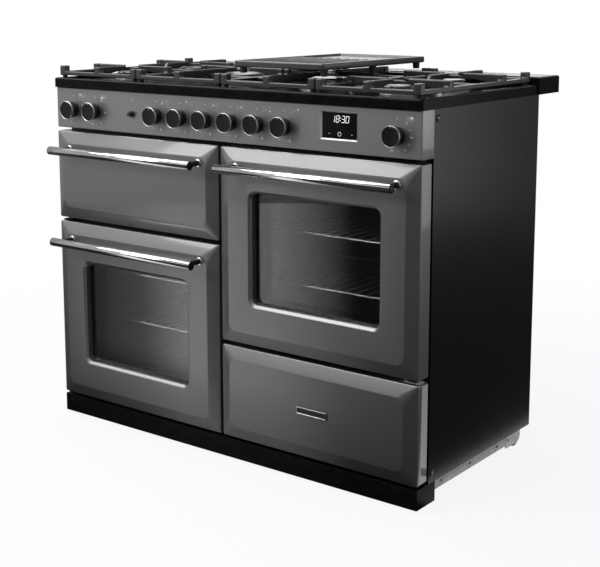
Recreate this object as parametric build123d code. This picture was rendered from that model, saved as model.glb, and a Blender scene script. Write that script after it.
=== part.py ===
"""Free-standing dual-fuel range cooker, 110 cm class, built as separate pieces.

Millimetres, +Z up, +X to the cook's right, the cook stands on the -Y side. The origin is on the
floor under the middle of the whole cooker. Depths (d) are measured back from the front plane of
the control panel and door flanges.
"""

import os
from math import cos, hypot, pi, sin, sqrt

from build123d import *

# Body
BODY_WIDTH = 1090.0
BODY_DEPTH = 521.0
FLOOR_TO_PLINTH = 4.0
PLINTH_HEIGHT = 46.0
PLINTH_RETURN = 75.0
PLINTH_LIP = 20.0
SHEET = 1.5
SIDE_FLANGE = 12.0
BASE_SHEET = 2.0
RAIL_HEIGHT = 22.0
RAIL_FLANGE = 30.0
ROLLER_ZONE = 120.0
RAIL_HOLE = 7.0
RAIL_HOLE_PITCH = 128.0

# Fronts
PLINTH_TO_DOOR = 7.0
SMALL_FRONT_HEIGHT = 224.0
OVEN_DOOR_HEIGHT = 459.0
ROW_GAP = 10.0
COLUMN_GAP = 8.0
DOOR_TO_PANEL = 9.0
DOOR_DEPTH = 38.0
DOOR_TO_BODY = 8.0
BEVEL = 30.0
RISE = 11.5
EDGE_RADIUS = 4.0
CREASE_RADIUS = 12.0
FIT = 0.2

# Oven door windows
WINDOW_WIDTH = 349.0
WINDOW_HEIGHT = 259.0
WINDOW_RADIUS = 15.0
REVEAL = 20.0
GLASS = 4.0
GLASS_MARGIN = 18.0

# Handles
HANDLE_OUT = 60.0
HANDLE_DROP = 44.0
HANDLE_BAR = 21.0
HANDLE_LENGTH = 476.0
POST = 14.0
POST_SPACING = 435.0
POST_FOOT = 22.0
POST_FOOT_HEIGHT = 2.5

# Door hinges
PIVOT_BACK = 12.0
PIVOT_INSET = 20.0
HINGE_PIN = 8.0
PIN_CLEARANCE = 0.1
PIN_REACH = 16.0
HINGE_PLATE = 3.0
HINGE_PLATE_WIDTH = 24.0
HINGE_PLATE_GAP = 1.5
HINGE_BUSH = 20.0
GRILL_HINGE_INSET = 25.5
GRILL_ARM = 5.0
GRILL_ARM_HEIGHT = 14.0
KNUCKLE = 12.0
SLOT_CLEARANCE = 1.0

# Control panel
PANEL_HEIGHT = 102.0
KNOB_DROP = 3.5
KNOB = 47.0
KNOB_DEPTH = 27.0
KNOB_GAP = 0.8
OUTER_KNOB_INSET = 61.0
KNOB_PITCH = 77.6
BURNER_KNOB_CENTRE = -4.0
BURNER_KNOBS = 6
SPINDLE = 8.0
SPINDLE_HOLE = 12.0
BUTTON_FROM_KNOB = 80.0
BUTTON = 8.0
BUTTON_CAP = 10.0
BUTTON_OUT = 13.0
BUTTON_BARREL = 12.0
BUTTON_COLLAR = 16.0
BUTTON_COLLAR_OUT = 4.0
CLOCK_INSET = 209.0
CLOCK_RAISE = 7.0
CLOCK_WIDTH = 97.0
CLOCK_HEIGHT = 62.0
CLOCK_RECESS = 4.0
CLOCK_GLASS = 3.0
CLOCK_FRAME = 5.0
CLOCK_DEPTH = 30.0

# Hob
HOB_RIM_HEIGHT = 24.0
HOB_OVERHANG_SIDE = 3.0
HOB_OVERHANG_FRONT = 7.0
HOB_RIM_WIDTH = 10.0
HOB_WELL = 8.0
HOB_RADIUS = 8.0
HOB_EDGE = 5.0
HOB_SHEET = 2.0
VENT_DEPTH = 105.0
VENT_OVERHANG_SIDE = 6.0
VENT_HEIGHT = 41.0
VENT_SLOT = 8.0
VENT_SLOT_LENGTH = 44.0
VENT_SLOT_PITCH = 24.0
VENT_SLOTS = 36

# Pan supports and griddle
SUPPORTS = 4
SUPPORT_SIDE = 7.0
SUPPORT_GAP = 3.0
SUPPORT_DEPTH = 485.0
SUPPORT_FRONT = 5.0
SUPPORT_BACK = 19.0
SUPPORT_LIFT = 14.0
SUPPORT_BAR = 13.0
SUPPORT_BAR_HEIGHT = 10.0
SUPPORT_CROWN = 14.0
LUG = 18.0
FINGER = 9.0
FINGER_RAMP = 12.0
FINGER_TIP_HEIGHT = 8.0
BURNER_EYE = 26.0
SUPPORT_FOOT = 12.0
GRIDDLE_SUPPORT = 2
GRIDDLE_WIDTH = 258.0
GRIDDLE_DEPTH = 422.0
GRIDDLE_SETBACK = 10.0
GRIDDLE_THICK = 14.5
GRIDDLE_FOOT = 14.5
GRIDDLE_RIM = 9.0
GRIDDLE_WELL = 5.0
GRIDDLE_RIBS = 9
GRIDDLE_RIB = 8.0
GRIDDLE_RIB_DEPTH = 240.0
GRIDDLE_RADIUS = 8.0

# Burners, by cap radius
SMALL_BURNER = 26.0
MEDIUM_BURNER = 36.0
LARGE_BURNER = 46.0
WOK_BURNER = 60.0
BURNER_FLANGE = 4.0
BURNER_FLANGE_MARGIN = 5.0
CROWN_HEIGHT = 12.0
CAP_HEIGHT = 6.0
FLAME_SLOT = 2.4
ELECTRODE = 5.0
ELECTRODE_HEIGHT = 15.0
BURNER_STEM_DROP = 26.0
BURNER_WALL = 6.0

# Ovens and grill
CAVITY_WIDTH = 430.0
CAVITY_DEPTH = 405.0
OVEN_CAVITY_HEIGHT = 370.0
GRILL_CAVITY_HEIGHT = 150.0
SEAL_WIDTH = 8.0
SEAL_MARGIN = 8.0
SEAL_GAP = 0.5
BAFFLE_DEPTH = 42.0
BAFFLE_WIDTH = 350.0
BAFFLE_HEIGHT = 310.0
BAFFLE_HOLE = 9.0
BAFFLE_RING = 15.0
BAFFLE_RINGS = 3
FAN_RADIUS = 70.0
FAN_BLADES = 14
FAN_BLADE_WIDTH = 18.0
FAN_BLADE_DEPTH = 20.0
FAN_STANDOFF = 8.0
FAN_HUB = 24.0
FAN_SHAFT = 8.0
MOTOR = 70.0
MOTOR_LENGTH = 45.0
MOTOR_PLATE = 90.0
RING_RADIUS = 92.0
ELEMENT = 7.0
ELEMENT_TAIL = 14.0
ELEMENT_PIN = 5.0
ELEMENT_TAIL_SPREAD = 30.0
LADDER_WIRE = 5.0
LADDER_INSET = 10.0
LADDER_FIRST = 33.0
LADDER_STEP = 62.0
LADDER_LEVELS = 5
SHELF_ROD = 6.0
SHELF_END_ROD = 5.0
SHELF_WIRE = 3.6
SHELF_WIRES = 13
SHELF_SETBACK = 25.0
LEFT_SHELF_LEVELS = (2, 4)
RIGHT_SHELF_LEVELS = (1, 3)
GRILL_LOOPS = 4
GRILL_ELEMENT_DROP = 18.0
GRILL_LEDGE = 8.0
GRILL_LEDGE_HEIGHT = 4.0
GRILL_LEDGE_RAISE = 62.0
GRILL_PAN_DEPTH = 330.0
GRILL_PAN_HEIGHT = 32.0
TRIVET_WIRES = 11
TRIVET_LEG = 4.0

# Drawer
DRAWER_BOX_DEPTH = 400.0
DRAWER_BOX_SIDE = 50.5
DRAWER_BOX_HEIGHT = 120.0
DRAWER_BOX_RAISE = 18.0
DRAWER_FLANGE = 14.0
DRAWER_FLANGE_RAISE = 75.0
DRAWER_RAIL = 10.0
RUNNER_CLEARANCE = 0.3

# Feet and rollers
ROLLER = 44.0
ROLLER_WIDTH = 22.0
ROLLER_INSET = 30.0
ROLLER_BACK = 36.0
AXLE = 8.0
ROLLER_CHEEK = 3.0
ROLLER_SIDE_GAP = 1.0
CHEEK_RADIUS = 19.0
ROLLER_ARM = 53.0
FOOT_PAD = 36.0
FOOT_PAD_HEIGHT = 8.0
FOOT_STUD = 10.0
FOOT_NUT_HEIGHT = 8.0
FOOT_INSET = 75.0

# Services behind the panel and at the back
TAP_WIDTH = 26.0
TAP_HEIGHT = 30.0
TAP_SETBACK = 12.0
TAP_DEPTH = 36.0
TAP_BORE_DEPTH = 14.0
THERMOSTAT = 40.0
MANIFOLD = 18.0
GAS_PIPE = 15.0
GAS_INLET = 20.96
GAS_PIPE_INSET = 40.0
GAS_STUB = 26.0
TERMINAL_WIDTH = 110.0
TERMINAL_HEIGHT = 70.0
TERMINAL_DEPTH = 32.0
TERMINAL_INSET = 165.0
TERMINAL_Z = 690.0
CABLE_GLAND = 16.0
REAR_SLOT = 7.0
REAR_SLOT_LENGTH = 130.0
REAR_SLOT_PITCH = 20.0
REAR_SLOTS = 8

# Levels and places worked out from the sizes above
base_top = FLOOR_TO_PLINTH + PLINTH_HEIGHT
front_base = base_top + PLINTH_TO_DOOR
front_top = front_base + SMALL_FRONT_HEIGHT + ROW_GAP + OVEN_DOOR_HEIGHT
panel_base = front_top + DOOR_TO_PANEL
panel_top = panel_base + PANEL_HEIGHT
knob_z = panel_base + PANEL_HEIGHT / 2 - KNOB_DROP
rim_top = panel_top + HOB_RIM_HEIGHT
well_z = rim_top - HOB_WELL
bar_base = well_z + SUPPORT_LIFT
bar_top = bar_base + SUPPORT_BAR_HEIGHT
crown_top = bar_top + SUPPORT_CROWN
face_d = DOOR_DEPTH + DOOR_TO_BODY
cavity_back = face_d + CAVITY_DEPTH
half_width = BODY_WIDTH / 2
column_width = (BODY_WIDTH - COLUMN_GAP) / 2
column_x = (COLUMN_GAP + column_width) / 2
hob_back = SUPPORT_FRONT + SUPPORT_DEPTH + SUPPORT_BACK
rear_end = hob_back + VENT_DEPTH
front_end = -(HANDLE_OUT + HANDLE_BAR / 2)
middle_d = (front_end + rear_end) / 2
grill_hinge_spread = column_width - 2 * GRILL_HINGE_INSET
drawer_box_width = column_width - 2 * DRAWER_BOX_SIDE
clock_x = half_width - CLOCK_INSET
gas_pipe_x = half_width - GAS_PIPE_INSET
terminal_x = TERMINAL_INSET - half_width

# Each front: column centre, middle height, height
grill_front = (-column_x, front_top - SMALL_FRONT_HEIGHT / 2, SMALL_FRONT_HEIGHT)
left_oven_front = (-column_x, front_base + OVEN_DOOR_HEIGHT / 2, OVEN_DOOR_HEIGHT)
right_oven_front = (column_x, front_top - OVEN_DOOR_HEIGHT / 2, OVEN_DOOR_HEIGHT)
drawer_front_place = (column_x, front_base + SMALL_FRONT_HEIGHT / 2, SMALL_FRONT_HEIGHT)
ovens = (left_oven_front, right_oven_front)

support_pitch = (BODY_WIDTH - 2 * SUPPORT_SIDE) / SUPPORTS
support_width = support_pitch - SUPPORT_GAP
support_xs = [support_pitch * (i - (SUPPORTS - 1) / 2) for i in range(SUPPORTS)]
support_mid = SUPPORT_FRONT + SUPPORT_DEPTH / 2
cell_depth = (SUPPORT_DEPTH - SUPPORT_BAR) / 2
burner_rows = (support_mid - cell_depth / 2, support_mid + cell_depth / 2)
burners_by_support = [
    [(burner_rows[0], MEDIUM_BURNER), (burner_rows[1], LARGE_BURNER)],
    [(support_mid, WOK_BURNER)],
    [(support_mid, LARGE_BURNER)],
    [(burner_rows[0], MEDIUM_BURNER), (burner_rows[1], SMALL_BURNER)],
]
burners = [
    (x, d, radius)
    for x, row in zip(support_xs, burners_by_support)
    for d, radius in row
]

burner_knob_xs = [
    BURNER_KNOB_CENTRE + KNOB_PITCH * (i - (BURNER_KNOBS - 1) / 2) for i in range(BURNER_KNOBS)
]
outer_knob_x = half_width - OUTER_KNOB_INSET
oven_knob_xs = [-outer_knob_x, KNOB_PITCH - outer_knob_x, outer_knob_x]
button_x = burner_knob_xs[0] - BUTTON_FROM_KNOB


def block(x, d, z):
    """Box between low and high values across (x), back (d) and up (z)."""
    size = (x[1] - x[0], d[1] - d[0], z[1] - z[0])
    middle = (sum(x) / 2, sum(d) / 2 - middle_d, sum(z) / 2)
    return Pos(*middle) * Box(*size)


def rod(radius, start, end):
    """Round bar between two points, each (x, d, z)."""
    a = Vector(start[0], start[1] - middle_d, start[2])
    b = Vector(end[0], end[1] - middle_d, end[2])
    bottom = (Align.CENTER, Align.CENTER, Align.MIN)
    return Plane(origin=a, z_dir=b - a) * Cylinder(radius, (b - a).length, align=bottom)


def front_plane(x, d, z):
    """Upright plane that looks at the cook."""
    return Plane(origin=(x, d - middle_d, z), x_dir=(1, 0, 0), z_dir=(0, -1, 0))


def around(middle, size):
    """Low and high value of a length about its middle."""
    return (middle - size / 2, middle + size / 2)


def fuse(pieces):
    """One solid from pieces that meet."""
    first, *others = pieces
    return first.fuse(*others) if others else first


def pressed_block(place, width, height, back_by=0.0):
    """Filled outline of a pressed front: straight sides, then a bevel up to a raised middle."""
    x, z, _ = place
    rim = RectangleRounded(width, height, EDGE_RADIUS)
    raised = RectangleRounded(width - 2 * BEVEL, height - 2 * BEVEL, CREASE_RADIUS)
    body = extrude(front_plane(x, DOOR_DEPTH + back_by, z) * rim, DOOR_DEPTH)
    bevel = loft([front_plane(x, back_by, z) * rim, front_plane(x, back_by - RISE, z) * raised])
    return body + bevel


def pressed_front(place):
    """Sheet-metal front, open at the back."""
    height = place[2]
    outside = pressed_block(place, column_width, height)
    inside = pressed_block(place, column_width - 2 * SHEET, height - 2 * SHEET, SHEET)
    return outside - inside


def window_prism(place, grow, front, back):
    """Rounded window shape between two depths, larger than the window by grow all round."""
    x, z, _ = place
    shape = RectangleRounded(WINDOW_WIDTH + 2 * grow, WINDOW_HEIGHT + 2 * grow, WINDOW_RADIUS + grow)
    return extrude(front_plane(x, back, z) * shape, back - front)


def side_pivot(place):
    """Place across of an oven door's upright hinge, at its outer edge."""
    side = 1 if place[0] > 0 else -1
    return side * (half_width - PIVOT_INSET)


def oven_door_skin(place):
    _, z, height = place
    skin = pressed_front(place)
    glass_d = REVEAL - RISE
    skin += window_prism(place, SHEET, -RISE, glass_d)
    skin -= window_prism(place, 0, -2 * RISE, glass_d + SHEET)
    pivot = side_pivot(place)
    return skin - rod(HINGE_PIN / 2 + SLOT_CLEARANCE, (pivot, PIVOT_BACK, z - height),
                      (pivot, PIVOT_BACK, z + height))


def liner_plate(place):
    """Inner door panel, a shallow tray that closes the back of the skin."""
    x, z, height = place
    wide = column_width - 2 * SHEET - 2 * FIT
    high = height - 2 * SHEET - 2 * FIT
    outline = RectangleRounded(wide, high, EDGE_RADIUS)
    tray = extrude(front_plane(x, DOOR_DEPTH, z) * outline, SIDE_FLANGE)
    hollow = block(around(x, wide - 2 * SHEET), (0, DOOR_DEPTH - SHEET), around(z, high - 2 * SHEET))
    return tray - hollow


def oven_door_liner(place):
    """Inner panel with its window, and the two hinge bushes."""
    _, z, height = place
    liner = liner_plate(place) - window_prism(place, 0, 0, DOOR_DEPTH + SHEET)
    pivot = side_pivot(place)
    pin_space = rod(HINGE_PIN / 2 + PIN_CLEARANCE, (pivot, PIVOT_BACK, z - height),
                    (pivot, PIVOT_BACK, z + height))
    bush_d = around(PIVOT_BACK, HINGE_BUSH)
    pieces = [liner]
    for side in (-1, 1):
        wall = z + side * (height / 2 - SHEET)
        bush_z = sorted((wall, wall - side * HINGE_BUSH))
        pieces.append(block(around(pivot, HINGE_BUSH), bush_d, bush_z) - pin_space)
    return pieces


def oven_door_glass(place):
    """Outer pane behind the window's reveal and inner pane on the liner."""
    x, z, _ = place
    glass_d = REVEAL - RISE
    wide = around(x, WINDOW_WIDTH + 2 * GLASS_MARGIN)
    high = around(z, WINDOW_HEIGHT + 2 * GLASS_MARGIN)
    inner_d = DOOR_DEPTH - SHEET
    return [block(wide, (glass_d, glass_d + GLASS), high), block(wide, (inner_d - GLASS, inner_d), high)]


def door_handle(place):
    """Straight bar on two posts."""
    x, z, height = place
    bar_z = z + height / 2 - HANDLE_DROP
    bar = rod(HANDLE_BAR / 2, (x - HANDLE_LENGTH / 2, -HANDLE_OUT, bar_z),
              (x + HANDLE_LENGTH / 2, -HANDLE_OUT, bar_z))
    bar = fillet(bar.edges(), HANDLE_BAR / 6)
    saddle = rod(HANDLE_BAR / 2 + PIN_CLEARANCE, (x - HANDLE_LENGTH, -HANDLE_OUT, bar_z),
                 (x + HANDLE_LENGTH, -HANDLE_OUT, bar_z))
    pieces = [bar]
    for side in (-1, 1):
        post_x = x + side * POST_SPACING / 2
        post = rod(POST / 2, (post_x, -RISE, bar_z), (post_x, -HANDLE_OUT, bar_z))
        foot = rod(POST_FOOT / 2, (post_x, -RISE, bar_z), (post_x, -RISE - POST_FOOT_HEIGHT, bar_z))
        pieces.append(post + foot - saddle)
    return pieces


def grill_arm_xs():
    """Low and high place across of each grill hinge arm, and which way its pin points."""
    middle = grill_front[0]
    return [(around(middle + side * grill_hinge_spread / 2, GRILL_ARM), -side) for side in (-1, 1)]


def grill_pivot_z():
    return front_top - SMALL_FRONT_HEIGHT + PIVOT_INSET


def grill_arm_slots():
    """Room for the two fixed arms as the grill door drops."""
    pivot_z = grill_pivot_z()
    reach = GRILL_ARM_HEIGHT / 2 + SLOT_CLEARANCE
    return [
        block((x[0] - SLOT_CLEARANCE, x[1] + SLOT_CLEARANCE), (PIVOT_BACK - reach, 2 * DOOR_DEPTH),
              (pivot_z - 2 * PIVOT_INSET, pivot_z + reach))
        for x, _ in grill_arm_xs()
    ]


def grill_door_skin():
    skin = pressed_front(grill_front)
    for slot in grill_arm_slots():
        skin -= slot
    return skin


def grill_door_liner():
    """Inner panel and the two hinge knuckles, which stand on the skin's lower wall."""
    liner = liner_plate(grill_front)
    for slot in grill_arm_slots():
        liner -= slot
    pivot_z = grill_pivot_z()
    floor = front_top - SMALL_FRONT_HEIGHT + SHEET
    pieces = [liner]
    for x, way in grill_arm_xs():
        face = x[1] + SLOT_CLEARANCE if way > 0 else x[0] - SLOT_CLEARANCE
        across = sorted((face, face + way * KNUCKLE))
        knuckle = block(across, around(PIVOT_BACK, 2 * HINGE_PIN),
                        (floor, pivot_z + HINGE_PIN))
        hole = rod(HINGE_PIN / 2 + PIN_CLEARANCE, (across[0] - SHEET, PIVOT_BACK, pivot_z),
                   (across[1] + SHEET, PIVOT_BACK, pivot_z))
        pieces.append(knuckle - hole)
    return pieces


def hinge_brackets():
    """Fixed hinge plates with pins for the two oven doors, and arms with pins for the grill door."""
    pieces = []
    for place in ovens:
        _, z, height = place
        pivot = side_pivot(place)
        for side in (-1, 1):
            near = z + side * (height / 2 + HINGE_PLATE_GAP)
            plate_z = sorted((near, near + side * HINGE_PLATE))
            plate = block(around(pivot, HINGE_PLATE_WIDTH), (PIVOT_BACK - HINGE_PIN, face_d), plate_z)
            tip = near - side * (HINGE_PLATE_GAP + PIN_REACH)
            pin = rod(HINGE_PIN / 2, (pivot, PIVOT_BACK, near), (pivot, PIVOT_BACK, tip))
            pieces.append(plate + pin)
    pivot_z = grill_pivot_z()
    for x, way in grill_arm_xs():
        arm = block(x, (PIVOT_BACK, face_d), around(pivot_z, GRILL_ARM_HEIGHT))
        arm += rod(GRILL_ARM_HEIGHT / 2, (x[0], PIVOT_BACK, pivot_z), (x[1], PIVOT_BACK, pivot_z))
        face = x[1] if way > 0 else x[0]
        pin_end = face + way * (SLOT_CLEARANCE + KNUCKLE)
        pin = rod(HINGE_PIN / 2, (face, PIVOT_BACK, pivot_z), (pin_end, PIVOT_BACK, pivot_z))
        pieces.append(arm + pin)
    return pieces


def door_seals():
    """Heat seals: round each oven, and on three sides of the grill, clear of its dropping door."""
    pieces = []
    sweep_top = grill_pivot_z() + hypot(DOOR_DEPTH - PIVOT_BACK, PIVOT_INSET)
    openings = [(grill_front, GRILL_CAVITY_HEIGHT)] + [(place, OVEN_CAVITY_HEIGHT) for place in ovens]
    for place, height in openings:
        x, z, _ = place
        inner = (CAVITY_WIDTH + 2 * SEAL_MARGIN, height + 2 * SEAL_MARGIN)
        d = (DOOR_DEPTH + SEAL_GAP, face_d)
        outside = block(around(x, inner[0] + 2 * SEAL_WIDTH), d, around(z, inner[1] + 2 * SEAL_WIDTH))
        seal = outside - block(around(x, inner[0]), (0, 2 * face_d), around(z, inner[1]))
        if place == grill_front:
            seal -= block(around(x, column_width), (0, 2 * face_d), (0, sweep_top))
        pieces.append(seal)
    return pieces


def base_frame():
    """Folded base: floor sheet, two side rails and two cross members."""
    outer = half_width - SHEET
    low = base_top - RAIL_HEIGHT
    rail_d = (face_d, BODY_DEPTH - ROLLER_ZONE)
    pieces = [block((-outer, outer), (face_d, BODY_DEPTH), (base_top - BASE_SHEET, base_top))]
    for side in (-1, 1):
        web = sorted((side * outer, side * (outer - BASE_SHEET)))
        lip = sorted((side * outer, side * (outer - RAIL_FLANGE)))
        pieces.append(block(web, rail_d, (low, base_top)))
        pieces.append(block(lip, rail_d, (low, low + BASE_SHEET)))
    for d, way in ((face_d, 1), (BODY_DEPTH - ROLLER_ZONE, -1)):
        web = sorted((d, d + way * BASE_SHEET))
        lip = sorted((d, d + way * 2 * RAIL_FLANGE))
        pieces.append(block((-outer, outer), web, (low, base_top)))
        pieces.append(block((-outer, outer), lip, (low, low + BASE_SHEET)))
    frame = fuse(pieces)
    for side in (-1, 1):
        for i in range(3):
            d = PLINTH_RETURN + RAIL_FLANGE + i * RAIL_HOLE_PITCH
            ends = [(side * (outer + SHEET), d, base_top - RAIL_FLANGE / 3),
                    (side * (outer - 2 * SHEET), d, base_top - RAIL_FLANGE / 3)]
            frame -= rod(RAIL_HOLE / 2, *ends)
        foot_x = side * (half_width - FOOT_INSET)
        frame -= rod(FOOT_STUD / 2 + FIT, (foot_x, face_d + RAIL_FLANGE, 0),
                     (foot_x, face_d + RAIL_FLANGE, low + 2 * BASE_SHEET))
    return frame


def levelling_feet():
    """Two screwed feet under the front cross member, with their lock nuts."""
    pieces = []
    under = base_top - RAIL_HEIGHT
    for side in (-1, 1):
        x = side * (half_width - FOOT_INSET)
        d = face_d + RAIL_FLANGE
        pad = rod(FOOT_PAD / 2, (x, d, 0), (x, d, FOOT_PAD_HEIGHT))
        nut = rod(FOOT_STUD, (x, d, under - FOOT_NUT_HEIGHT), (x, d, under))
        stud = rod(FOOT_STUD / 2, (x, d, 0), (x, d, base_top - 2 * BASE_SHEET))
        pieces.append(pad + nut + stud)
    return pieces


def side_panels():
    """Folded side sheets with returns on all four edges."""
    pieces = []
    for side in (-1, 1):
        x = sorted((side * half_width, side * (half_width - SIDE_FLANGE)))
        hollow_x = sorted((side * (half_width - SHEET), side * (half_width - 2 * SIDE_FLANGE)))
        tray = block(x, (face_d, BODY_DEPTH), (base_top, panel_top))
        tray -= block(hollow_x, (face_d + SHEET, BODY_DEPTH - SHEET),
                      (base_top + SHEET, panel_top - SHEET))
        for z in (base_top + RAIL_FLANGE * 2 / 3, panel_top - RAIL_FLANGE * 2 / 3):
            d = face_d + RAIL_FLANGE / 2
            tray -= rod(RAIL_HOLE / 2, (side * (half_width + SHEET), d, z),
                        (side * (half_width - SHEET * 2), d, z))
        pieces.append(tray)
    return pieces


def rear_panel():
    """Back sheet with cooling slots, a hole for the gas pipe and one for the mains wires."""
    wide = BODY_WIDTH - 2 * SIDE_FLANGE
    d = (BODY_DEPTH - SHEET, BODY_DEPTH)
    through = (BODY_DEPTH - 2 * SHEET, BODY_DEPTH + SHEET)
    panel = block(around(0, wide), d, (base_top, panel_top))
    for x in (-column_x, column_x):
        for i in range(REAR_SLOTS):
            z = front_base + SMALL_FRONT_HEIGHT + i * REAR_SLOT_PITCH
            panel -= block(around(x, REAR_SLOT_LENGTH), through, around(z, REAR_SLOT))
    panel -= rod(GAS_PIPE / 2 + FIT, (gas_pipe_x, through[0], knob_z), (gas_pipe_x, through[1], knob_z))
    return panel - rod(CABLE_GLAND / 2, (terminal_x, through[0], TERMINAL_Z),
                       (terminal_x, through[1], TERMINAL_Z))


def terminal_box():
    """Mains connection box on the back, with a cable hole in its underside."""
    d = (BODY_DEPTH, BODY_DEPTH + TERMINAL_DEPTH)
    z = around(TERMINAL_Z, TERMINAL_HEIGHT)
    box = block(around(terminal_x, TERMINAL_WIDTH), d, z)
    inside = block(around(terminal_x, TERMINAL_WIDTH - 4 * SHEET), (d[0], d[1] - 2 * SHEET),
                   around(TERMINAL_Z, TERMINAL_HEIGHT - 8 * SHEET))
    middle = sum(d) / 2
    hole = rod(CABLE_GLAND / 2, (terminal_x, middle, z[0] - SHEET), (terminal_x, middle, TERMINAL_Z))
    return box - inside - hole


def plinth():
    """Toe board with side returns and a folded top lip."""
    z = (FLOOR_TO_PLINTH, base_top)
    board = block((-half_width, half_width), (0, SHEET), z)
    lip = block((-half_width, half_width), (0, PLINTH_LIP), (base_top - SHEET, base_top))
    pieces = [board, lip]
    for side in (-1, 1):
        wall = sorted((side * half_width, side * (half_width - SHEET)))
        pieces.append(block(wall, (0, PLINTH_RETURN), z))
    return fuse(pieces)


def control_panel():
    """Folded fascia, open at the back, with holes for knobs, button and clock."""
    outside = block((-half_width, half_width), (0, face_d), (panel_base, panel_top))
    inside = block((SHEET - half_width, half_width - SHEET), (SHEET, 2 * face_d),
                   (panel_base + SHEET, panel_top - SHEET))
    panel = outside - inside
    for x in burner_knob_xs + oven_knob_xs:
        panel -= rod(SPINDLE_HOLE / 2, (x, -SHEET, knob_z), (x, 2 * SHEET, knob_z))
    panel -= rod(BUTTON_BARREL / 2 + FIT, (button_x, -SHEET, knob_z), (button_x, 2 * SHEET, knob_z))
    clock_z = panel_base + PANEL_HEIGHT / 2 + CLOCK_RAISE
    return panel - block(around(clock_x, CLOCK_WIDTH), (-SHEET, 2 * SHEET),
                         around(clock_z, CLOCK_HEIGHT))


def clock_module():
    """Timer housing clipped behind the panel, and its glass front in the recess."""
    z = panel_base + PANEL_HEIGHT / 2 + CLOCK_RAISE
    housing = block(around(clock_x, CLOCK_WIDTH + 2 * CLOCK_FRAME), (SHEET, CLOCK_DEPTH),
                    around(z, CLOCK_HEIGHT + 2 * CLOCK_FRAME))
    well = block(around(clock_x, CLOCK_WIDTH), (0, CLOCK_RECESS + CLOCK_GLASS), around(z, CLOCK_HEIGHT))
    glass = block(around(clock_x, CLOCK_WIDTH), (CLOCK_RECESS, CLOCK_RECESS + CLOCK_GLASS),
                  around(z, CLOCK_HEIGHT))
    return [housing - well, glass]


def knob(x):
    """Control knob with a dished face, and the tap spindle pressed into it."""
    radius = KNOB / 2
    ring = radius / 8
    profile = Polyline(
        (0, KNOB_GAP), (radius - 2 * ring, KNOB_GAP), (radius - ring, KNOB_DEPTH * 2 / 3),
        (radius, KNOB_DEPTH * 3 / 4), (radius, KNOB_DEPTH - ring / 2), (radius - ring / 2, KNOB_DEPTH),
        (radius - ring, KNOB_DEPTH), (radius - ring * 3 / 2, KNOB_DEPTH - ring / 2),
        (0, KNOB_DEPTH - ring / 2),
        close=True,
    )
    body = revolve(Plane.XZ * make_face(profile), Axis.Z)
    body = front_plane(x, 0, knob_z) * body
    spindle_end = -KNOB_DEPTH / 2
    bore = rod(SPINDLE / 2 + PIN_CLEARANCE, (x, KNOB_GAP, knob_z), (x, spindle_end, knob_z))
    spindle = rod(SPINDLE / 2, (x, TAP_SETBACK + TAP_BORE_DEPTH - FIT, knob_z), (x, spindle_end, knob_z))
    pointer = block(around(x, ring / 2), (-KNOB_DEPTH - SHEET, -KNOB_DEPTH + ring / 2),
                    (knob_z + radius - ring * 4 / 3, knob_z + 2 * radius))
    return [body - bore - pointer, spindle]


def taps_and_switches():
    """Six gas taps, three oven thermostats and the push switch, all behind the panel."""
    pieces = []
    sizes = [(x, TAP_WIDTH, TAP_HEIGHT) for x in burner_knob_xs]
    sizes += [(x, THERMOSTAT, THERMOSTAT) for x in oven_knob_xs]
    for x, wide, high in sizes:
        body = block(around(x, wide), (TAP_SETBACK, TAP_SETBACK + TAP_DEPTH), around(knob_z, high))
        neck = rod(SPINDLE_HOLE / 2 + SHEET, (x, SHEET, knob_z), (x, TAP_SETBACK, knob_z))
        bore = rod(SPINDLE / 2 + PIN_CLEARANCE, (x, 0, knob_z),
                   (x, TAP_SETBACK + TAP_BORE_DEPTH, knob_z))
        pieces.append(body + neck - bore)
    collar = rod(BUTTON_COLLAR / 2, (button_x, 0, knob_z), (button_x, -BUTTON_COLLAR_OUT, knob_z))
    barrel = rod(BUTTON_BARREL / 2, (button_x, 0, knob_z), (button_x, TAP_DEPTH, knob_z))
    bore = rod(BUTTON / 2 + FIT, (button_x, -BUTTON_OUT, knob_z), (button_x, TAP_DEPTH - SHEET, knob_z))
    pieces.append(collar + barrel - bore)
    return pieces


def push_button():
    """Plunger with a wider cap."""
    stem = rod(BUTTON / 2, (button_x, -BUTTON_OUT, knob_z), (button_x, TAP_DEPTH * 2 / 3, knob_z))
    cap = rod(BUTTON_CAP / 2, (button_x, -BUTTON_OUT, knob_z), (button_x, -BUTTON_OUT * 2 / 3, knob_z))
    return stem + cap


def gas_manifold():
    """Square feed rail behind the taps, and the pipe from it to the wider inlet at the back."""
    d = (TAP_SETBACK + TAP_DEPTH, TAP_SETBACK + TAP_DEPTH + MANIFOLD)
    ends = (burner_knob_xs[0] - TAP_WIDTH, gas_pipe_x + GAS_PIPE)
    rail = block(ends, d, around(knob_z, MANIFOLD))
    pipe = rod(GAS_PIPE / 2, (gas_pipe_x, sum(d) / 2, knob_z), (gas_pipe_x, BODY_DEPTH, knob_z))
    inlet = rod(GAS_INLET / 2, (gas_pipe_x, BODY_DEPTH, knob_z),
                (gas_pipe_x, BODY_DEPTH + GAS_STUB, knob_z))
    return fuse([rail, pipe, inlet])


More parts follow.
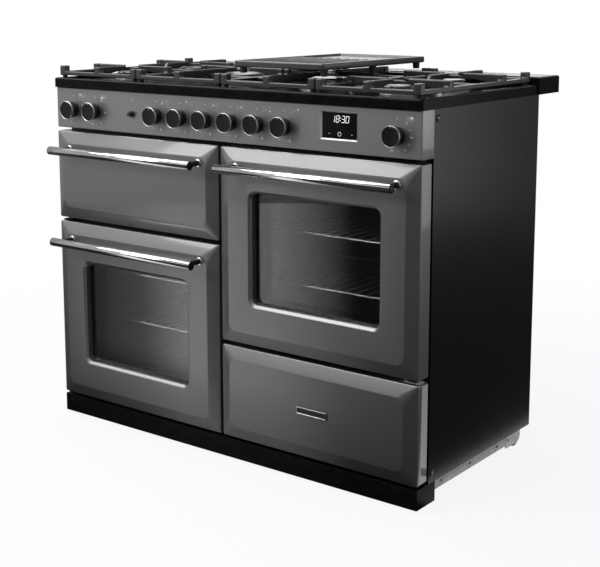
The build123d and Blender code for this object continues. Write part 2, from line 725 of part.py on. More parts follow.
def hob_top():
    """Pressed hob with a raised rim, a sunk well and a hole for each burner."""
    wide = BODY_WIDTH + 2 * HOB_OVERHANG_SIDE
    deep = hob_back + HOB_OVERHANG_FRONT
    middle = (hob_back - HOB_OVERHANG_FRONT) / 2 - middle_d
    outline = Pos(0, middle, panel_top) * RectangleRounded(wide, deep, HOB_RADIUS)
    top = extrude(outline, HOB_RIM_HEIGHT)
    top = fillet(top.edges().group_by(Axis.Z)[-1], HOB_EDGE)
    d = (-HOB_OVERHANG_FRONT, hob_back)
    top -= block(around(0, wide - 2 * HOB_RIM_WIDTH), (d[0] + HOB_RIM_WIDTH, d[1] - HOB_RIM_WIDTH),
                 (well_z, 2 * rim_top))
    top -= block(around(0, wide - 2 * HOB_EDGE), (d[0] + HOB_EDGE, d[1] - HOB_EDGE),
                 (panel_top + HOB_SHEET, well_z - HOB_SHEET))
    top -= block(around(0, BODY_WIDTH - 2 * SIDE_FLANGE), (SIDE_FLANGE, hob_back - SIDE_FLANGE),
                 (panel_top - HOB_SHEET, well_z - HOB_SHEET))
    for x, burner_d, radius in burners:
        hole = radius - BURNER_WALL + SLOT_CLEARANCE
        top -= rod(hole, (x, burner_d, panel_top), (x, burner_d, rim_top))
    return top


def rear_vent():
    """Upstand along the back with a row of flue slots in its top."""
    half = half_width + VENT_OVERHANG_SIDE
    outside = block((-half, half), (hob_back, rear_end), (panel_top, panel_top + VENT_HEIGHT))
    outside = fillet(outside.edges().group_by(Axis.Z)[-1], HOB_EDGE)
    inside = block((HOB_SHEET - half, half - HOB_SHEET), (hob_back + HOB_SHEET, rear_end - HOB_SHEET),
                   (0, panel_top + VENT_HEIGHT - HOB_SHEET))
    vent = outside - inside
    middle = (hob_back + rear_end) / 2
    for i in range(VENT_SLOTS):
        x = VENT_SLOT_PITCH * (i - (VENT_SLOTS - 1) / 2)
        vent -= block(around(x, VENT_SLOT), around(middle, VENT_SLOT_LENGTH),
                      (panel_top + HOB_EDGE, 2 * rim_top))
    return vent


def burner_bases():
    """Cast burner bodies that stand on the hob, each with a spark electrode and a flame sensor."""
    pieces = []
    for x, d, radius in burners:
        flange_radius = radius + BURNER_FLANGE_MARGIN
        top = well_z + BURNER_FLANGE
        low = well_z - BURNER_STEM_DROP
        body = rod(flange_radius, (x, d, well_z), (x, d, top))
        body += rod(radius - BURNER_WALL, (x, d, low), (x, d, well_z))
        body -= rod(radius - 2 * BURNER_WALL, (x, d, low + BURNER_WALL), (x, d, top))
        pieces.append(body)
        for side in (-1, 1):
            pin_x = x + side * (flange_radius + ELECTRODE / 2 + FIT)
            pieces.append(rod(ELECTRODE / 2, (pin_x, d, well_z), (pin_x, d, well_z + ELECTRODE_HEIGHT)))
    return pieces


def burner_crowns():
    """Flame rings with a slot for each port."""
    pieces = []
    for x, d, radius in burners:
        low = well_z + BURNER_FLANGE
        crown = rod(radius, (x, d, low), (x, d, low + CROWN_HEIGHT))
        crown -= rod(radius - BURNER_WALL, (x, d, low), (x, d, low + CROWN_HEIGHT))
        ports = 4 * round(radius / 6)
        slots = [
            Pos(x, d - middle_d, low + CROWN_HEIGHT)
            * Rot(0, 0, 360 / ports * i)
            * Pos(radius - BURNER_WALL / 2, 0, 0)
            * Box(2 * BURNER_WALL, FLAME_SLOT, CROWN_HEIGHT)
            for i in range(ports)
        ]
        pieces.append(crown.cut(*slots))
    return pieces


def burner_caps():
    """Enamelled caps on the flame rings."""
    pieces = []
    for x, d, radius in burners:
        low = well_z + BURNER_FLANGE + CROWN_HEIGHT
        cap = rod(radius + SHEET, (x, d, low), (x, d, low + CAP_HEIGHT))
        pieces.append(fillet(cap.edges().group_by(Axis.Z)[-1], CAP_HEIGHT / 2))
    return pieces


def finger(start, end):
    """Upright rib of a pan support from its bar at start to its tip at end, each (x, d)."""
    a = Vector(start[0], start[1] - middle_d, 0)
    b = Vector(end[0], end[1] - middle_d, 0)
    length = (b - a).length
    outline = Polyline(
        (0, bar_base), (0, bar_top), (FINGER_RAMP, crown_top), (length, crown_top),
        (length, crown_top - FINGER_TIP_HEIGHT), (SUPPORT_BAR, bar_base),
        close=True,
    )
    side = Plane(origin=a, x_dir=b - a, z_dir=(b - a).cross(Vector(0, 0, 1)))
    return extrude(side * make_face(outline), FINGER / 2, both=True)


def pan_support(index):
    """Cast support: frame, feet, four fingers towards each burner, lugs at corners and finger roots."""
    x = support_xs[index]
    wide = around(x, support_width)
    deep = (SUPPORT_FRONT, SUPPORT_FRONT + SUPPORT_DEPTH)
    inner_x = (wide[0] + SUPPORT_BAR, wide[1] - SUPPORT_BAR)
    inner_d = (deep[0] + SUPPORT_BAR, deep[1] - SUPPORT_BAR)
    bars = [block(wide, deep, (bar_base, bar_top)) - block(inner_x, inner_d, (bar_base, bar_top))]
    rows = burners_by_support[index]
    edges = [deep[0], deep[1]]
    if len(rows) > 1:
        edges.insert(1, support_mid)
        cross_bars = [support_mid]
    else:
        cross_bars = burner_rows
    for d in cross_bars:
        bars.append(block(inner_x, around(d, SUPPORT_BAR), (bar_base, bar_top)))
    for (d, _), front, back in zip(rows, edges, edges[1:]):
        bars.append(finger((x, front), (x, d - BURNER_EYE)))
        bars.append(finger((x, back), (x, d + BURNER_EYE)))
        bars.append(finger((wide[0], d), (x - BURNER_EYE, d)))
        bars.append(finger((wide[1], d), (x + BURNER_EYE, d)))
    lug_xs = (wide[0] + LUG / 2, wide[1] - LUG / 2)
    lug_ds = (deep[0] + LUG / 2, deep[1] - LUG / 2)
    corners = [(lug_x, lug_d) for lug_x in lug_xs for lug_d in lug_ds]
    roots = [(x, lug_d) for lug_d in lug_ds] + [(lug_x, d) for lug_x in lug_xs for d, _ in rows]
    for lug_x, lug_d in corners + roots:
        bars.append(block(around(lug_x, LUG), around(lug_d, LUG), (bar_base, crown_top)))
    for lug_x, lug_d in corners:
        foot_top = bar_base + SHEET
        bars.append(rod(SUPPORT_FOOT / 2, (lug_x, lug_d, well_z), (lug_x, lug_d, foot_top)))
    return fuse(bars)


def griddle():
    """Cast plate with a rim, a ribbed front half and a foot ring that stands on the fingers."""
    x = support_xs[GRIDDLE_SUPPORT]
    middle = support_mid + GRIDDLE_SETBACK
    low = crown_top + GRIDDLE_FOOT
    top = low + GRIDDLE_THICK
    outline = RectangleRounded(GRIDDLE_WIDTH, GRIDDLE_DEPTH, GRIDDLE_RADIUS)
    plate = extrude(Pos(x, middle - middle_d, low) * outline, GRIDDLE_THICK)
    plate = fillet(plate.edges().group_by(Axis.Z)[-1], GRIDDLE_RIM / 6)
    well = (GRIDDLE_WIDTH - 2 * GRIDDLE_RIM, GRIDDLE_DEPTH - 2 * GRIDDLE_RIM)
    well_base = top - GRIDDLE_WELL
    plate -= block(around(x, well[0]), around(middle, well[1]), (well_base, 2 * top))
    rib_d = middle - well[1] / 2
    pitch = well[0] / GRIDDLE_RIBS
    for i in range(GRIDDLE_RIBS):
        rib_x = x + pitch * (i - (GRIDDLE_RIBS - 1) / 2)
        plate += block(around(rib_x, GRIDDLE_RIB), (rib_d, rib_d + GRIDDLE_RIB_DEPTH),
                       (well_base, top - GRIDDLE_RIM / 6))
    foot_x = around(x, well[0])
    foot_d = around(middle, well[1])
    foot = block(foot_x, foot_d, (crown_top, low))
    foot -= block(around(x, well[0] - 2 * GRIDDLE_RIM), around(middle, well[1] - 2 * GRIDDLE_RIM),
                  (crown_top, low))
    return plate + foot


def element_tail_xs(x):
    return [x + side * ELEMENT_TAIL_SPREAD / 2 for side in (-1, 1)]


def ring_depth():
    """Depth of the fan and its ring element, between the baffle and the back wall."""
    return cavity_back - BAFFLE_DEPTH / 2


def cavity(place, height, flange_z):
    """Enamelled liner with its front flange, which fills its part of the body's face."""
    x, z, _ = place
    inside = block(around(x, CAVITY_WIDTH), (0, cavity_back), around(z, height))
    shell = block(around(x, CAVITY_WIDTH + 2 * SHEET), (face_d, cavity_back + SHEET),
                  around(z, height + 2 * SHEET))
    side = 1 if x > 0 else -1
    flange_x = sorted((0, side * (half_width - SIDE_FLANGE)))
    return shell + block(flange_x, (face_d, face_d + SHEET), flange_z) - inside


def oven_cavity(place, flange_z):
    x, z, _ = place
    liner = cavity(place, OVEN_CAVITY_HEIGHT, flange_z)
    wall = (cavity_back - SHEET, cavity_back + 2 * SHEET)
    liner -= rod(FAN_SHAFT / 2 + SLOT_CLEARANCE, (x, wall[0], z), (x, wall[1], z))
    tail_z = z + sqrt(RING_RADIUS**2 - (ELEMENT_TAIL_SPREAD / 2) ** 2)
    for tail_x in element_tail_xs(x):
        liner -= rod(ELEMENT_PIN / 2 + FIT, (tail_x, wall[0], tail_z), (tail_x, wall[1], tail_z))
    return liner


def grill_element_z():
    return grill_front[1] + GRILL_CAVITY_HEIGHT / 2 - GRILL_ELEMENT_DROP


def grill_ledge_z():
    """Top of the ledges that carry the grill pan."""
    return grill_front[1] - GRILL_CAVITY_HEIGHT / 2 + GRILL_LEDGE_RAISE


def grill_element_xs():
    """Passes of the grill element across the compartment."""
    pitch = (CAVITY_WIDTH - 4 * RAIL_FLANGE) / (2 * GRILL_LOOPS - 1)
    return [grill_front[0] + pitch * (i - GRILL_LOOPS + 0.5) for i in range(2 * GRILL_LOOPS)]


def grill_cavity():
    x, z, _ = grill_front
    row = front_top - SMALL_FRONT_HEIGHT - ROW_GAP / 2
    liner = cavity(grill_front, GRILL_CAVITY_HEIGHT, (row, panel_base))
    ledge_d = (face_d, cavity_back + SHEET)
    for side in (-1, 1):
        wall = side * CAVITY_WIDTH / 2 + x
        ledge_x = sorted((wall + side * SHEET, wall - side * GRILL_LEDGE))
        liner += block(ledge_x, ledge_d, (grill_ledge_z() - GRILL_LEDGE_HEIGHT, grill_ledge_z()))
    xs = grill_element_xs()
    for tail_x in (xs[0], xs[-1]):
        liner -= rod(ELEMENT / 2 + FIT, (tail_x, cavity_back - SHEET, grill_element_z()),
                     (tail_x, cavity_back + 2 * SHEET, grill_element_z()))
    return liner


def heating_elements():
    """Ring elements round the two fans, and the looped grill element."""
    pieces = []
    for x, z, _ in ovens:
        d = ring_depth()
        ring = front_plane(x, d, z) * Torus(RING_RADIUS, ELEMENT / 2)
        tail_z = z + sqrt(RING_RADIUS**2 - (ELEMENT_TAIL_SPREAD / 2) ** 2)
        tails = [
            rod(ELEMENT_PIN / 2, (tail_x, d, tail_z), (tail_x, cavity_back + ELEMENT_TAIL, tail_z))
            for tail_x in element_tail_xs(x)
        ]
        pieces.append(fuse([ring] + tails))
    xs = grill_element_xs()
    near = face_d + 2 * RAIL_FLANGE
    far = cavity_back - 2 * RAIL_FLANGE
    route = [(xs[0], cavity_back + ELEMENT_TAIL)]
    for i, x in enumerate(xs):
        turns = (far, near) if i % 2 == 0 else (near, far)
        route += [(x, d) for d in turns][(1 if i == 0 else 0):(1 if i == len(xs) - 1 else 2)]
    route.append((xs[-1], cavity_back + ELEMENT_TAIL))
    z = grill_element_z()
    points = [Vector(x, d - middle_d, z) for x, d in route]
    path = FilletPolyline(*points, radius=(xs[1] - xs[0]) * 0.45)
    section = Plane(origin=points[0], z_dir=path % 0) * Circle(ELEMENT / 2)
    pieces.append(sweep(section, path))
    return pieces


def fan_baffles():
    """Perforated covers over the oven fans."""
    pieces = []
    for x, z, _ in ovens:
        front = cavity_back - BAFFLE_DEPTH
        cover = block(around(x, BAFFLE_WIDTH), (front, cavity_back), around(z, BAFFLE_HEIGHT))
        cover -= block(around(x, BAFFLE_WIDTH - 2 * SHEET), (front + SHEET, cavity_back + SHEET),
                       around(z, BAFFLE_HEIGHT - 2 * SHEET))
        holes = [(0, 0)]
        for ring in range(1, BAFFLE_RINGS + 1):
            radius = ring * BAFFLE_RING
            turns = [2 * pi * i / (6 * ring) for i in range(6 * ring)]
            holes += [(radius * cos(turn), radius * sin(turn)) for turn in turns]
        cutters = [
            rod(BAFFLE_HOLE / 2, (x + across, front - SHEET, z + up),
                (x + across, front + 2 * SHEET, z + up))
            for across, up in holes
        ]
        outlets = [
            block(around(x, BAFFLE_WIDTH + SHEET), around(ring_depth(), BAFFLE_DEPTH / 3),
                  around(z + i * BAFFLE_HEIGHT / 5, BAFFLE_HEIGHT / 8))
            for i in (-2, -1, 0, 1, 2)
        ]
        pieces.append(cover.cut(*cutters, *outlets))
    return pieces


def fan_motors():
    """Motors on the back walls of the ovens."""
    pieces = []
    back = cavity_back + SHEET
    for x, z, _ in ovens:
        plate = block(around(x, MOTOR_PLATE), (back, back + 2 * SHEET), around(z, MOTOR_PLATE))
        can = rod(MOTOR / 2, (x, back, z), (x, back + MOTOR_LENGTH, z))
        bore = rod(FAN_SHAFT / 2 + PIN_CLEARANCE, (x, back, z), (x, back + MOTOR_LENGTH / 2 + FIT, z))
        pieces.append(plate + can - bore)
    return pieces


def oven_fan(place):
    """Bladed wheel with its shaft."""
    x, z, _ = place
    disc_back = cavity_back - FAN_STANDOFF
    front = disc_back - FAN_BLADE_DEPTH
    pieces = [
        rod(FAN_RADIUS, (x, disc_back - SHEET, z), (x, disc_back, z)),
        rod(FAN_HUB / 2, (x, front, z), (x, disc_back, z)),
        rod(FAN_SHAFT / 2, (x, front, z), (x, cavity_back + SHEET + MOTOR_LENGTH / 2, z)),
    ]
    blade = Box(FAN_BLADE_WIDTH, SHEET, FAN_BLADE_DEPTH)
    blade = Pos(FAN_RADIUS - FAN_BLADE_WIDTH / 2, 0, 0) * blade
    wheel = front_plane(x, front + FAN_BLADE_DEPTH / 2, z)
    for i in range(FAN_BLADES):
        pieces.append(wheel * Rot(0, 0, 360 / FAN_BLADES * i) * blade)
    return fuse(pieces)


def ladder_zs(z):
    low = z - OVEN_CAVITY_HEIGHT / 2 + LADDER_FIRST
    return [low + i * LADDER_STEP for i in range(LADDER_LEVELS)]


def shelf_depths():
    return (face_d + SHELF_SETBACK, cavity_back - BAFFLE_DEPTH - SHELF_SETBACK)


def shelf_ladders():
    """Wire racks on the oven side walls."""
    pieces = []
    radius = LADDER_WIRE / 2
    for x, z, _ in ovens:
        near, far = shelf_depths()
        levels = ladder_zs(z)
        for side in (-1, 1):
            wall = x + side * CAVITY_WIDTH / 2
            rack_x = wall - side * LADDER_INSET
            upright_x = rack_x + side * LADDER_WIRE * 4 / 5
            wires = [rod(radius, (rack_x, near, level), (rack_x, far, level)) for level in levels]
            for d in (near + 2 * LADDER_INSET, far - 2 * LADDER_INSET):
                ends = (levels[0] - LADDER_INSET, levels[-1] + 3 * LADDER_INSET)
                wires.append(rod(radius, (upright_x, d, ends[0]), (upright_x, d, ends[1])))
                wires += [
                    rod(radius * 4 / 5, (wall, d, end), (upright_x, d, end))
                    for end in (ends[0] + LADDER_WIRE, ends[1] - LADDER_WIRE)
                ]
            pieces.append(fuse(wires))
    return pieces


def oven_shelves():
    """Wire shelves, two in each oven, resting on the racks."""
    pieces = []
    near, far = shelf_depths()
    radius = SHELF_ROD / 2
    half = CAVITY_WIDTH / 2 - LADDER_INSET - LADDER_WIRE / 2
    for (x, z, _), levels in zip(ovens, (LEFT_SHELF_LEVELS, RIGHT_SHELF_LEVELS)):
        for level in levels:
            shelf_z = ladder_zs(z)[level] + LADDER_WIRE / 2 + radius + FIT
            wires = [
                rod(radius, (x + side * half, near - radius, shelf_z),
                    (x + side * half, far + radius, shelf_z))
                for side in (-1, 1)
            ]
            wires += [
                rod(SHELF_END_ROD / 2, (x - half, end, shelf_z), (x + half, end, shelf_z))
                for end in (near, far)
            ]
            pitch = 2 * half / (SHELF_WIRES + 1)
            for i in range(SHELF_WIRES):
                wire_x = x - half + pitch * (i + 1)
                wires.append(rod(SHELF_WIRE / 2, (wire_x, near, shelf_z), (wire_x, far, shelf_z)))
            pieces.append(fuse(wires))
    return pieces


def grill_pan():
    """Pan that hangs by its lips on the ledges, and the wire trivet in it."""
    x = grill_front[0]
    lip_half = CAVITY_WIDTH / 2 - FIT
    half = CAVITY_WIDTH / 2 - GRILL_LEDGE - 2 * FIT
    top = grill_ledge_z() + SHEET
    d = around((face_d + cavity_back) / 2, GRILL_PAN_DEPTH)
    pan = block((x - half, x + half), d, (top - GRILL_PAN_HEIGHT, top))
    pan += block((x - lip_half, x + lip_half), d, (grill_ledge_z(), top))
    floor = top - GRILL_PAN_HEIGHT + SHEET
    inner = (half - SHEET, GRILL_PAN_DEPTH - 2 * SHEET)
    pan -= block((x - inner[0], x + inner[0]), around(sum(d) / 2, inner[1]), (floor, 2 * top))
    radius = SHELF_ROD / 2
    wire_z = floor + GRILL_PAN_HEIGHT / 2
    near = d[0] + SHELF_SETBACK
    far = d[1] - SHELF_SETBACK
    span = inner[0] - SHELF_SETBACK
    reach = span + SHELF_ROD
    wires = [rod(radius, (x - reach, end, wire_z), (x + reach, end, wire_z)) for end in (near, far)]
    pitch = 2 * span / (TRIVET_WIRES - 1)
    for i in range(TRIVET_WIRES):
        wire_x = x - span + pitch * i
        wires.append(rod(SHELF_WIRE / 2, (wire_x, near, wire_z), (wire_x, far, wire_z)))
    for leg_x in (x - span + pitch / 2, x + span - pitch / 2):
        for end in (near, far):
            wires.append(rod(TRIVET_LEG / 2, (leg_x, end, floor), (leg_x, end, wire_z)))
    return [pan, fuse(wires)]


def drawer_flange_z():
    """Underside of the drawer's running flanges."""
    return front_base + DRAWER_BOX_RAISE + DRAWER_FLANGE_RAISE


def drawer_box():
    """Tray with a front plate that closes the drawer front, and a running flange each side."""
    x, z, height = drawer_front_place
    low = front_base + DRAWER_BOX_RAISE
    d = (DOOR_DEPTH, DOOR_DEPTH + DRAWER_BOX_DEPTH)
    outer = around(x, drawer_box_width)
    tray = block(outer, d, (low, low + DRAWER_BOX_HEIGHT))
    tray -= block((outer[0] + SHEET, outer[1] - SHEET), (d[0] + SHEET, d[1] - SHEET),
                  (low + SHEET, low + 2 * DRAWER_BOX_HEIGHT))
    plate = block(around(x, column_width - 2 * SHEET), (DOOR_DEPTH, DOOR_DEPTH + SHEET),
                  around(z, height - 2 * SHEET))
    flange_z = (drawer_flange_z(), drawer_flange_z() + SHEET)
    flange = [
        block((outer[0] - DRAWER_FLANGE, outer[0] + SHEET), d, flange_z),
        block((outer[1] - SHEET, outer[1] + DRAWER_FLANGE), d, flange_z),
    ]
    return fuse([tray, plate] + flange)


def drawer_rails():
    """Folded rails on the base that the drawer's flanges run along."""
    pieces = []
    x = drawer_front_place[0]
    d = (face_d + SIDE_FLANGE, cavity_back)
    top = drawer_flange_z() - RUNNER_CLEARANCE
    for side in (-1, 1):
        inner = x + side * (drawer_box_width / 2 + SLOT_CLEARANCE)
        outer = inner + side * (DRAWER_FLANGE + DRAWER_RAIL)
        head = block(sorted((inner, outer)), d, (top - BASE_SHEET, top))
        web = block(sorted((outer - side * BASE_SHEET, outer)), d, (base_top, top))
        foot = block(sorted((outer - side * DRAWER_RAIL, outer)), d, (base_top, base_top + BASE_SHEET))
        pieces.append(fuse([head, web, foot]))
    return pieces


def roller_x(side):
    return side * (half_width - ROLLER_INSET)


def roller_brackets():
    """Forks under the back corners of the base, each with an arm forward of the wheel and an axle."""
    pieces = []
    d = BODY_DEPTH - ROLLER_BACK
    z = ROLLER / 2
    under = base_top - BASE_SHEET
    for side in (-1, 1):
        x = roller_x(side)
        gap = ROLLER_WIDTH / 2 + ROLLER_SIDE_GAP
        plate_x = around(x, 2 * (gap + ROLLER_CHEEK))
        plate_d = (d - ROLLER_ARM, d + CHEEK_RADIUS)
        fork = [block(plate_x, plate_d, (under - ROLLER_CHEEK, under))]
        cheek_z = under - CHEEK_RADIUS
        hole_d = d - ROLLER_ARM + CHEEK_RADIUS / 2
        for way in (-1, 1):
            cheek_x = sorted((x + way * gap, x + way * (gap + ROLLER_CHEEK)))
            cheek = rod(CHEEK_RADIUS, (cheek_x[0], d, cheek_z), (cheek_x[1], d, cheek_z))
            cheek += block(cheek_x, (d - ROLLER_ARM, d), (under - 2 * CHEEK_RADIUS, under))
            cheek -= rod(RAIL_HOLE / 2, (cheek_x[0], hole_d, cheek_z), (cheek_x[1], hole_d, cheek_z))
            fork.append(cheek)
        axle_end = gap + ROLLER_CHEEK
        fork.append(rod(AXLE / 2, (x - axle_end, d, z), (x + axle_end, d, z)))
        pieces.append(fuse(fork))
    return pieces


def roller(side):
    """Hard wheel with rounded edges."""
    d = BODY_DEPTH - ROLLER_BACK
    z = ROLLER / 2
    x = around(roller_x(side), ROLLER_WIDTH)
    wheel = rod(ROLLER / 2, (x[0], d, z), (x[1], d, z))
    wheel = fillet(wheel.edges(), ROLLER_WIDTH / 8)
    return wheel - rod(AXLE / 2 + PIN_CLEARANCE, (x[0], d, z), (x[1], d, z))


row_left = front_base + OVEN_DOOR_HEIGHT + ROW_GAP / 2
row_right = front_base + SMALL_FRONT_HEIGHT + ROW_GAP / 2

nodes = {
    "base_frame": base_frame(),
    "levelling_feet": levelling_feet(),
    "side_panels": side_panels(),
    "rear_panel": rear_panel(),
    "terminal_box": terminal_box(),
    "plinth": plinth(),
    "control_panel": control_panel(),
    "clock_module": clock_module(),
    "taps_and_switches": taps_and_switches(),
    "gas_manifold": gas_manifold(),
    "push_button": push_button(),
    "hob_top": hob_top(),
    "rear_vent": rear_vent(),
    "burner_bases": burner_bases(),
    "burner_crowns": burner_crowns(),
    "burner_caps": burner_caps(),
    "griddle": griddle(),
    "left_oven_cavity": oven_cavity(left_oven_front, (base_top, row_left)),
    "right_oven_cavity": oven_cavity(right_oven_front, (row_right, panel_base)),
    "grill_cavity": grill_cavity(),
    "heating_elements": heating_elements(),
    "fan_baffles": fan_baffles(),
    "fan_motors": fan_motors(),
    "left_oven_fan": oven_fan(left_oven_front),
    "right_oven_fan": oven_fan(right_oven_front),
    "shelf_ladders": shelf_ladders(),
    "oven_shelves": oven_shelves(),
    "grill_pan": grill_pan(),
    "door_seals": door_seals(),
    "hinge_brackets": hinge_brackets(),
    "grill_door_skin": grill_door_skin(),
    "grill_door_liner": grill_door_liner(),
    "grill_door_handle": door_handle(grill_front),
    "drawer_front": pressed_front(drawer_front_place),
    "drawer_box": drawer_box(),
    "drawer_rails": drawer_rails(),
    "roller_brackets": roller_brackets(),
    "left_roller": roller(-1),
    "right_roller": roller(1),
}
for name, place in (("left_oven_door", left_oven_front), ("right_oven_door", right_oven_front)):
    nodes[f"{name}_skin"] = oven_door_skin(place)
    nodes[f"{name}_liner"] = oven_door_liner(place)
    nodes[f"{name}_glass"] = oven_door_glass(place)
    nodes[f"{name}_handle"] = door_handle(place)
for number, knob_x in enumerate(burner_knob_xs, 1):
    nodes[f"burner_knob_{number}"] = knob(knob_x)
for name, knob_x in zip(("grill_knob", "left_oven_knob", "right_oven_knob"), oven_knob_xs):
    nodes[name] = knob(knob_x)
for number in range(SUPPORTS):
    nodes[f"pan_support_{number + 1}"] = pan_support(number)

os.makedirs("parts", exist_ok=True)
for name, shape in nodes.items():
    solids = shape if isinstance(shape, list) else [shape]
    group = Compound(children=[solid for piece in solids for solid in piece.solids()])
    export_step(group, f"parts/{name}.step")
print(len(nodes), "nodes")
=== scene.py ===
"""Looks of the range cooker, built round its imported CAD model.

Metres, +Z up, +X to the cook's right, and the cook stands on the -Y side.
"""

import math

import bmesh
import bpy
from mathutils import Matrix, Vector


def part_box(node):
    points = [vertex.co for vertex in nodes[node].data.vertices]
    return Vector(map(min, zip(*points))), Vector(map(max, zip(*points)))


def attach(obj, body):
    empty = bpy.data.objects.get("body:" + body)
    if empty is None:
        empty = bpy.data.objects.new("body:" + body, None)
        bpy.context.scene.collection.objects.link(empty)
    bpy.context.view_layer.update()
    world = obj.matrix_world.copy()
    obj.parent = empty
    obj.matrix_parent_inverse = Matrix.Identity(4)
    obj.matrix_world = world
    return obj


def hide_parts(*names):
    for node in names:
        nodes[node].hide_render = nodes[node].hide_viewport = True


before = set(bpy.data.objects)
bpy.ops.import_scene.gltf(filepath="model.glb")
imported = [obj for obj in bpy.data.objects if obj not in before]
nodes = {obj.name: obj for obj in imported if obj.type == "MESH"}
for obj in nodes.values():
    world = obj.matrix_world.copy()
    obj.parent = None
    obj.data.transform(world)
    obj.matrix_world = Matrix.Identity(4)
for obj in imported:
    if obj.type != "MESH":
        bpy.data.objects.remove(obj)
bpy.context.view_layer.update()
scene = bpy.context.scene
MM = 0.001
BUMP_DEPTH = 0.2 * MM
SHARP_ANGLE = 40
SHEET_SHARP_ANGLE = 60

# Camera, solved from the photograph's corners
IMAGE_WIDTH = 600
SENSOR_WIDTH = 36.0
FOCAL_PIXELS = 1228.5
CAMERA_PLACE = (1.8437, -2.3965, 1.0941)
CAMERA_YAW = 37.16
CAMERA_PITCH = 9.22
CAMERA_SHIFT = -0.15

# Pressed fronts
EDGE_RADIUS = 4 * MM
CREASE_RADIUS = 22 * MM
BEVEL = 30 * MM
RISE = 11.5 * MM
RIM_ROUND = 3 * MM
CREASE_ROUND = 9 * MM
SHEET = 1.2 * MM
CORNER_STEPS = 10

# Hinges and the folded panel, as in the CAD
HINGE_SPREAD = 490 * MM
HINGE_SLOT = 7 * MM
SLOT_FRONT = 4 * MM
SLOT_BACK = 60 * MM
SLOT_TOP = 28 * MM
CUT_BELOW = 20 * MM
HINGE_PIN_X = 525 * MM
HINGE_PIN_BACK = 12 * MM
HINGE_HOLE = 5 * MM
PIN_LENGTH = 600 * MM
PANEL_FOLD = 2.5 * MM
PANEL_CORNER = 0.8 * MM
SPINDLE_HOLE = 6 * MM
CLOCK_FRAME = 5 * MM
CLOCK_RECESS = 4 * MM
HOLE_REACH = 5 * MM

# Oven door windows
WINDOW = (349 * MM, 259 * MM)
WINDOW_RADIUS = 15 * MM
WINDOW_LIP = 6.5 * MM
LIP_ROUND = 2.5 * MM
REVEAL = 20 * MM
PANE = 4 * MM
BORDER_OUT = 15 * MM
BORDER_IN = 7 * MM
BORDER_GAP = 0.2 * MM
BORDER_THICK = 0.3 * MM

# Handles
BAR_RADIUS = 10.5 * MM
BAR_CHAMFER = 1.5 * MM
POST_HALF_SPACING = 217.5 * MM

# Knobs and panel print
KNOB_RADIUS = 22.8 * MM
KNOB_DEPTH = 27 * MM
KNOB_FLUTES = 40
FLUTE_DEPTH = 0.25 * MM
PRINT_LIFT = 0.12 * MM
MARK_RADIUS = 33 * MM
MARK_RISE = 35 * MM
DIAL_START = -40.0
DIAL_END = -255.0
DOT_STEPS = 16
RING_STEPS = 28
DIGIT_LEAN = 0.16

# Badge plate and griddle
BADGE = (84 * MM, 17 * MM)
BADGE_STEPS = ((0, 0), (0, -2.2), (1, -2.8), (2, -2.8), (2.6, -1.8), (6, -1.8))
GRIDDLE_FOOT = 14.5 * MM
GRIDDLE_RIM = 9 * MM
GRIDDLE_WELL = 5 * MM
GRIDDLE_RIBS = 9
RIB_ENDS = ((4, 0.3), (6, 0.85), (9, 1), (240, 1), (245, 0.3))

# Screws, with cup washers on the side panels
SCREW_CUP = ((8.5 * MM, 0), (8.5 * MM, 0.8 * MM), (7.6 * MM, 1.4 * MM), (4.6 * MM, 0.4 * MM))
SIDE_SCREW = 4.2 * MM
SIDE_SCREW_IN = 15 * MM
SIDE_SCREW_UP = 20 * MM
REAR_SCREW = 4 * MM
REAR_SCREW_IN = 14 * MM
REAR_SCREW_UP = 12 * MM

# Studio as reflections see it: wall brightness by compass angle (0 at the cook's right, -90 in front),
# ground in front by angle about a post behind the cooker and by place along Y, ground at the sides by
# place along X, and an even ceiling and softbox
WALL_RADIUS = 3.8
WALL_STEPS = 144
WALL_LOW = 1.8
WALL_TALL = 3.4
WALL_TALL_TO = -139.5
WALL_LEVELS = (
    (-180, 0.5), (-150, 0.5), (-139, 0.75), (-131, 0.5), (-123, 0.4), (-117.5, 0.06), (-110, 0.05),
    (-75, 0.05), (-45, 0.25), (0, 0.7), (40, 1.5), (47, 1.4), (54, 0.25), (59, 0.1), (90, 0.3),
    (108, 1.4), (128, 1.6), (135, 0.4), (180, 0.5))
GROUND_POST = (1.84, 1.83)
GROUND_SPAN = (-WALL_RADIUS, 2.4)
GROUND_LEVELS = (
    (-165, 0.1), (-138.5, 0.05), (-135, 0.45), (-132.8, 1.5), (-130, 1.2), (-128.5, 1.15), (-125, 0.04),
    (-60, 0.04))
GROUND_FADE = ((-WALL_RADIUS, 1.0), (-0.8, 1.0), (-0.6, 0.45), (-0.22, 0.12))
GROUND_RIGHT = ((0.62, 0.03), (2.4, 0.08), (3.8, 0.4))
GROUND_LEFT = ((-3.8, 0.4), (-2.4, 0.08), (-0.62, 0.03))
SIDE_GROUND_BACK = 3.4
UNDER_SPAN = (-0.56, 0.5)
UNDER_BACK = 0.3
CARD_LIFT = 2 * MM
CEILING = 3.3
CEILING_SPAN = (-5, 5)
CEILING_LEVEL = 0.3
SOFTBOX = 2.6
SOFTBOX_X = (-3.6, -0.5)
SOFTBOX_Y = (-1.5, -0.2)
SOFTBOX_LEVEL = 6.0

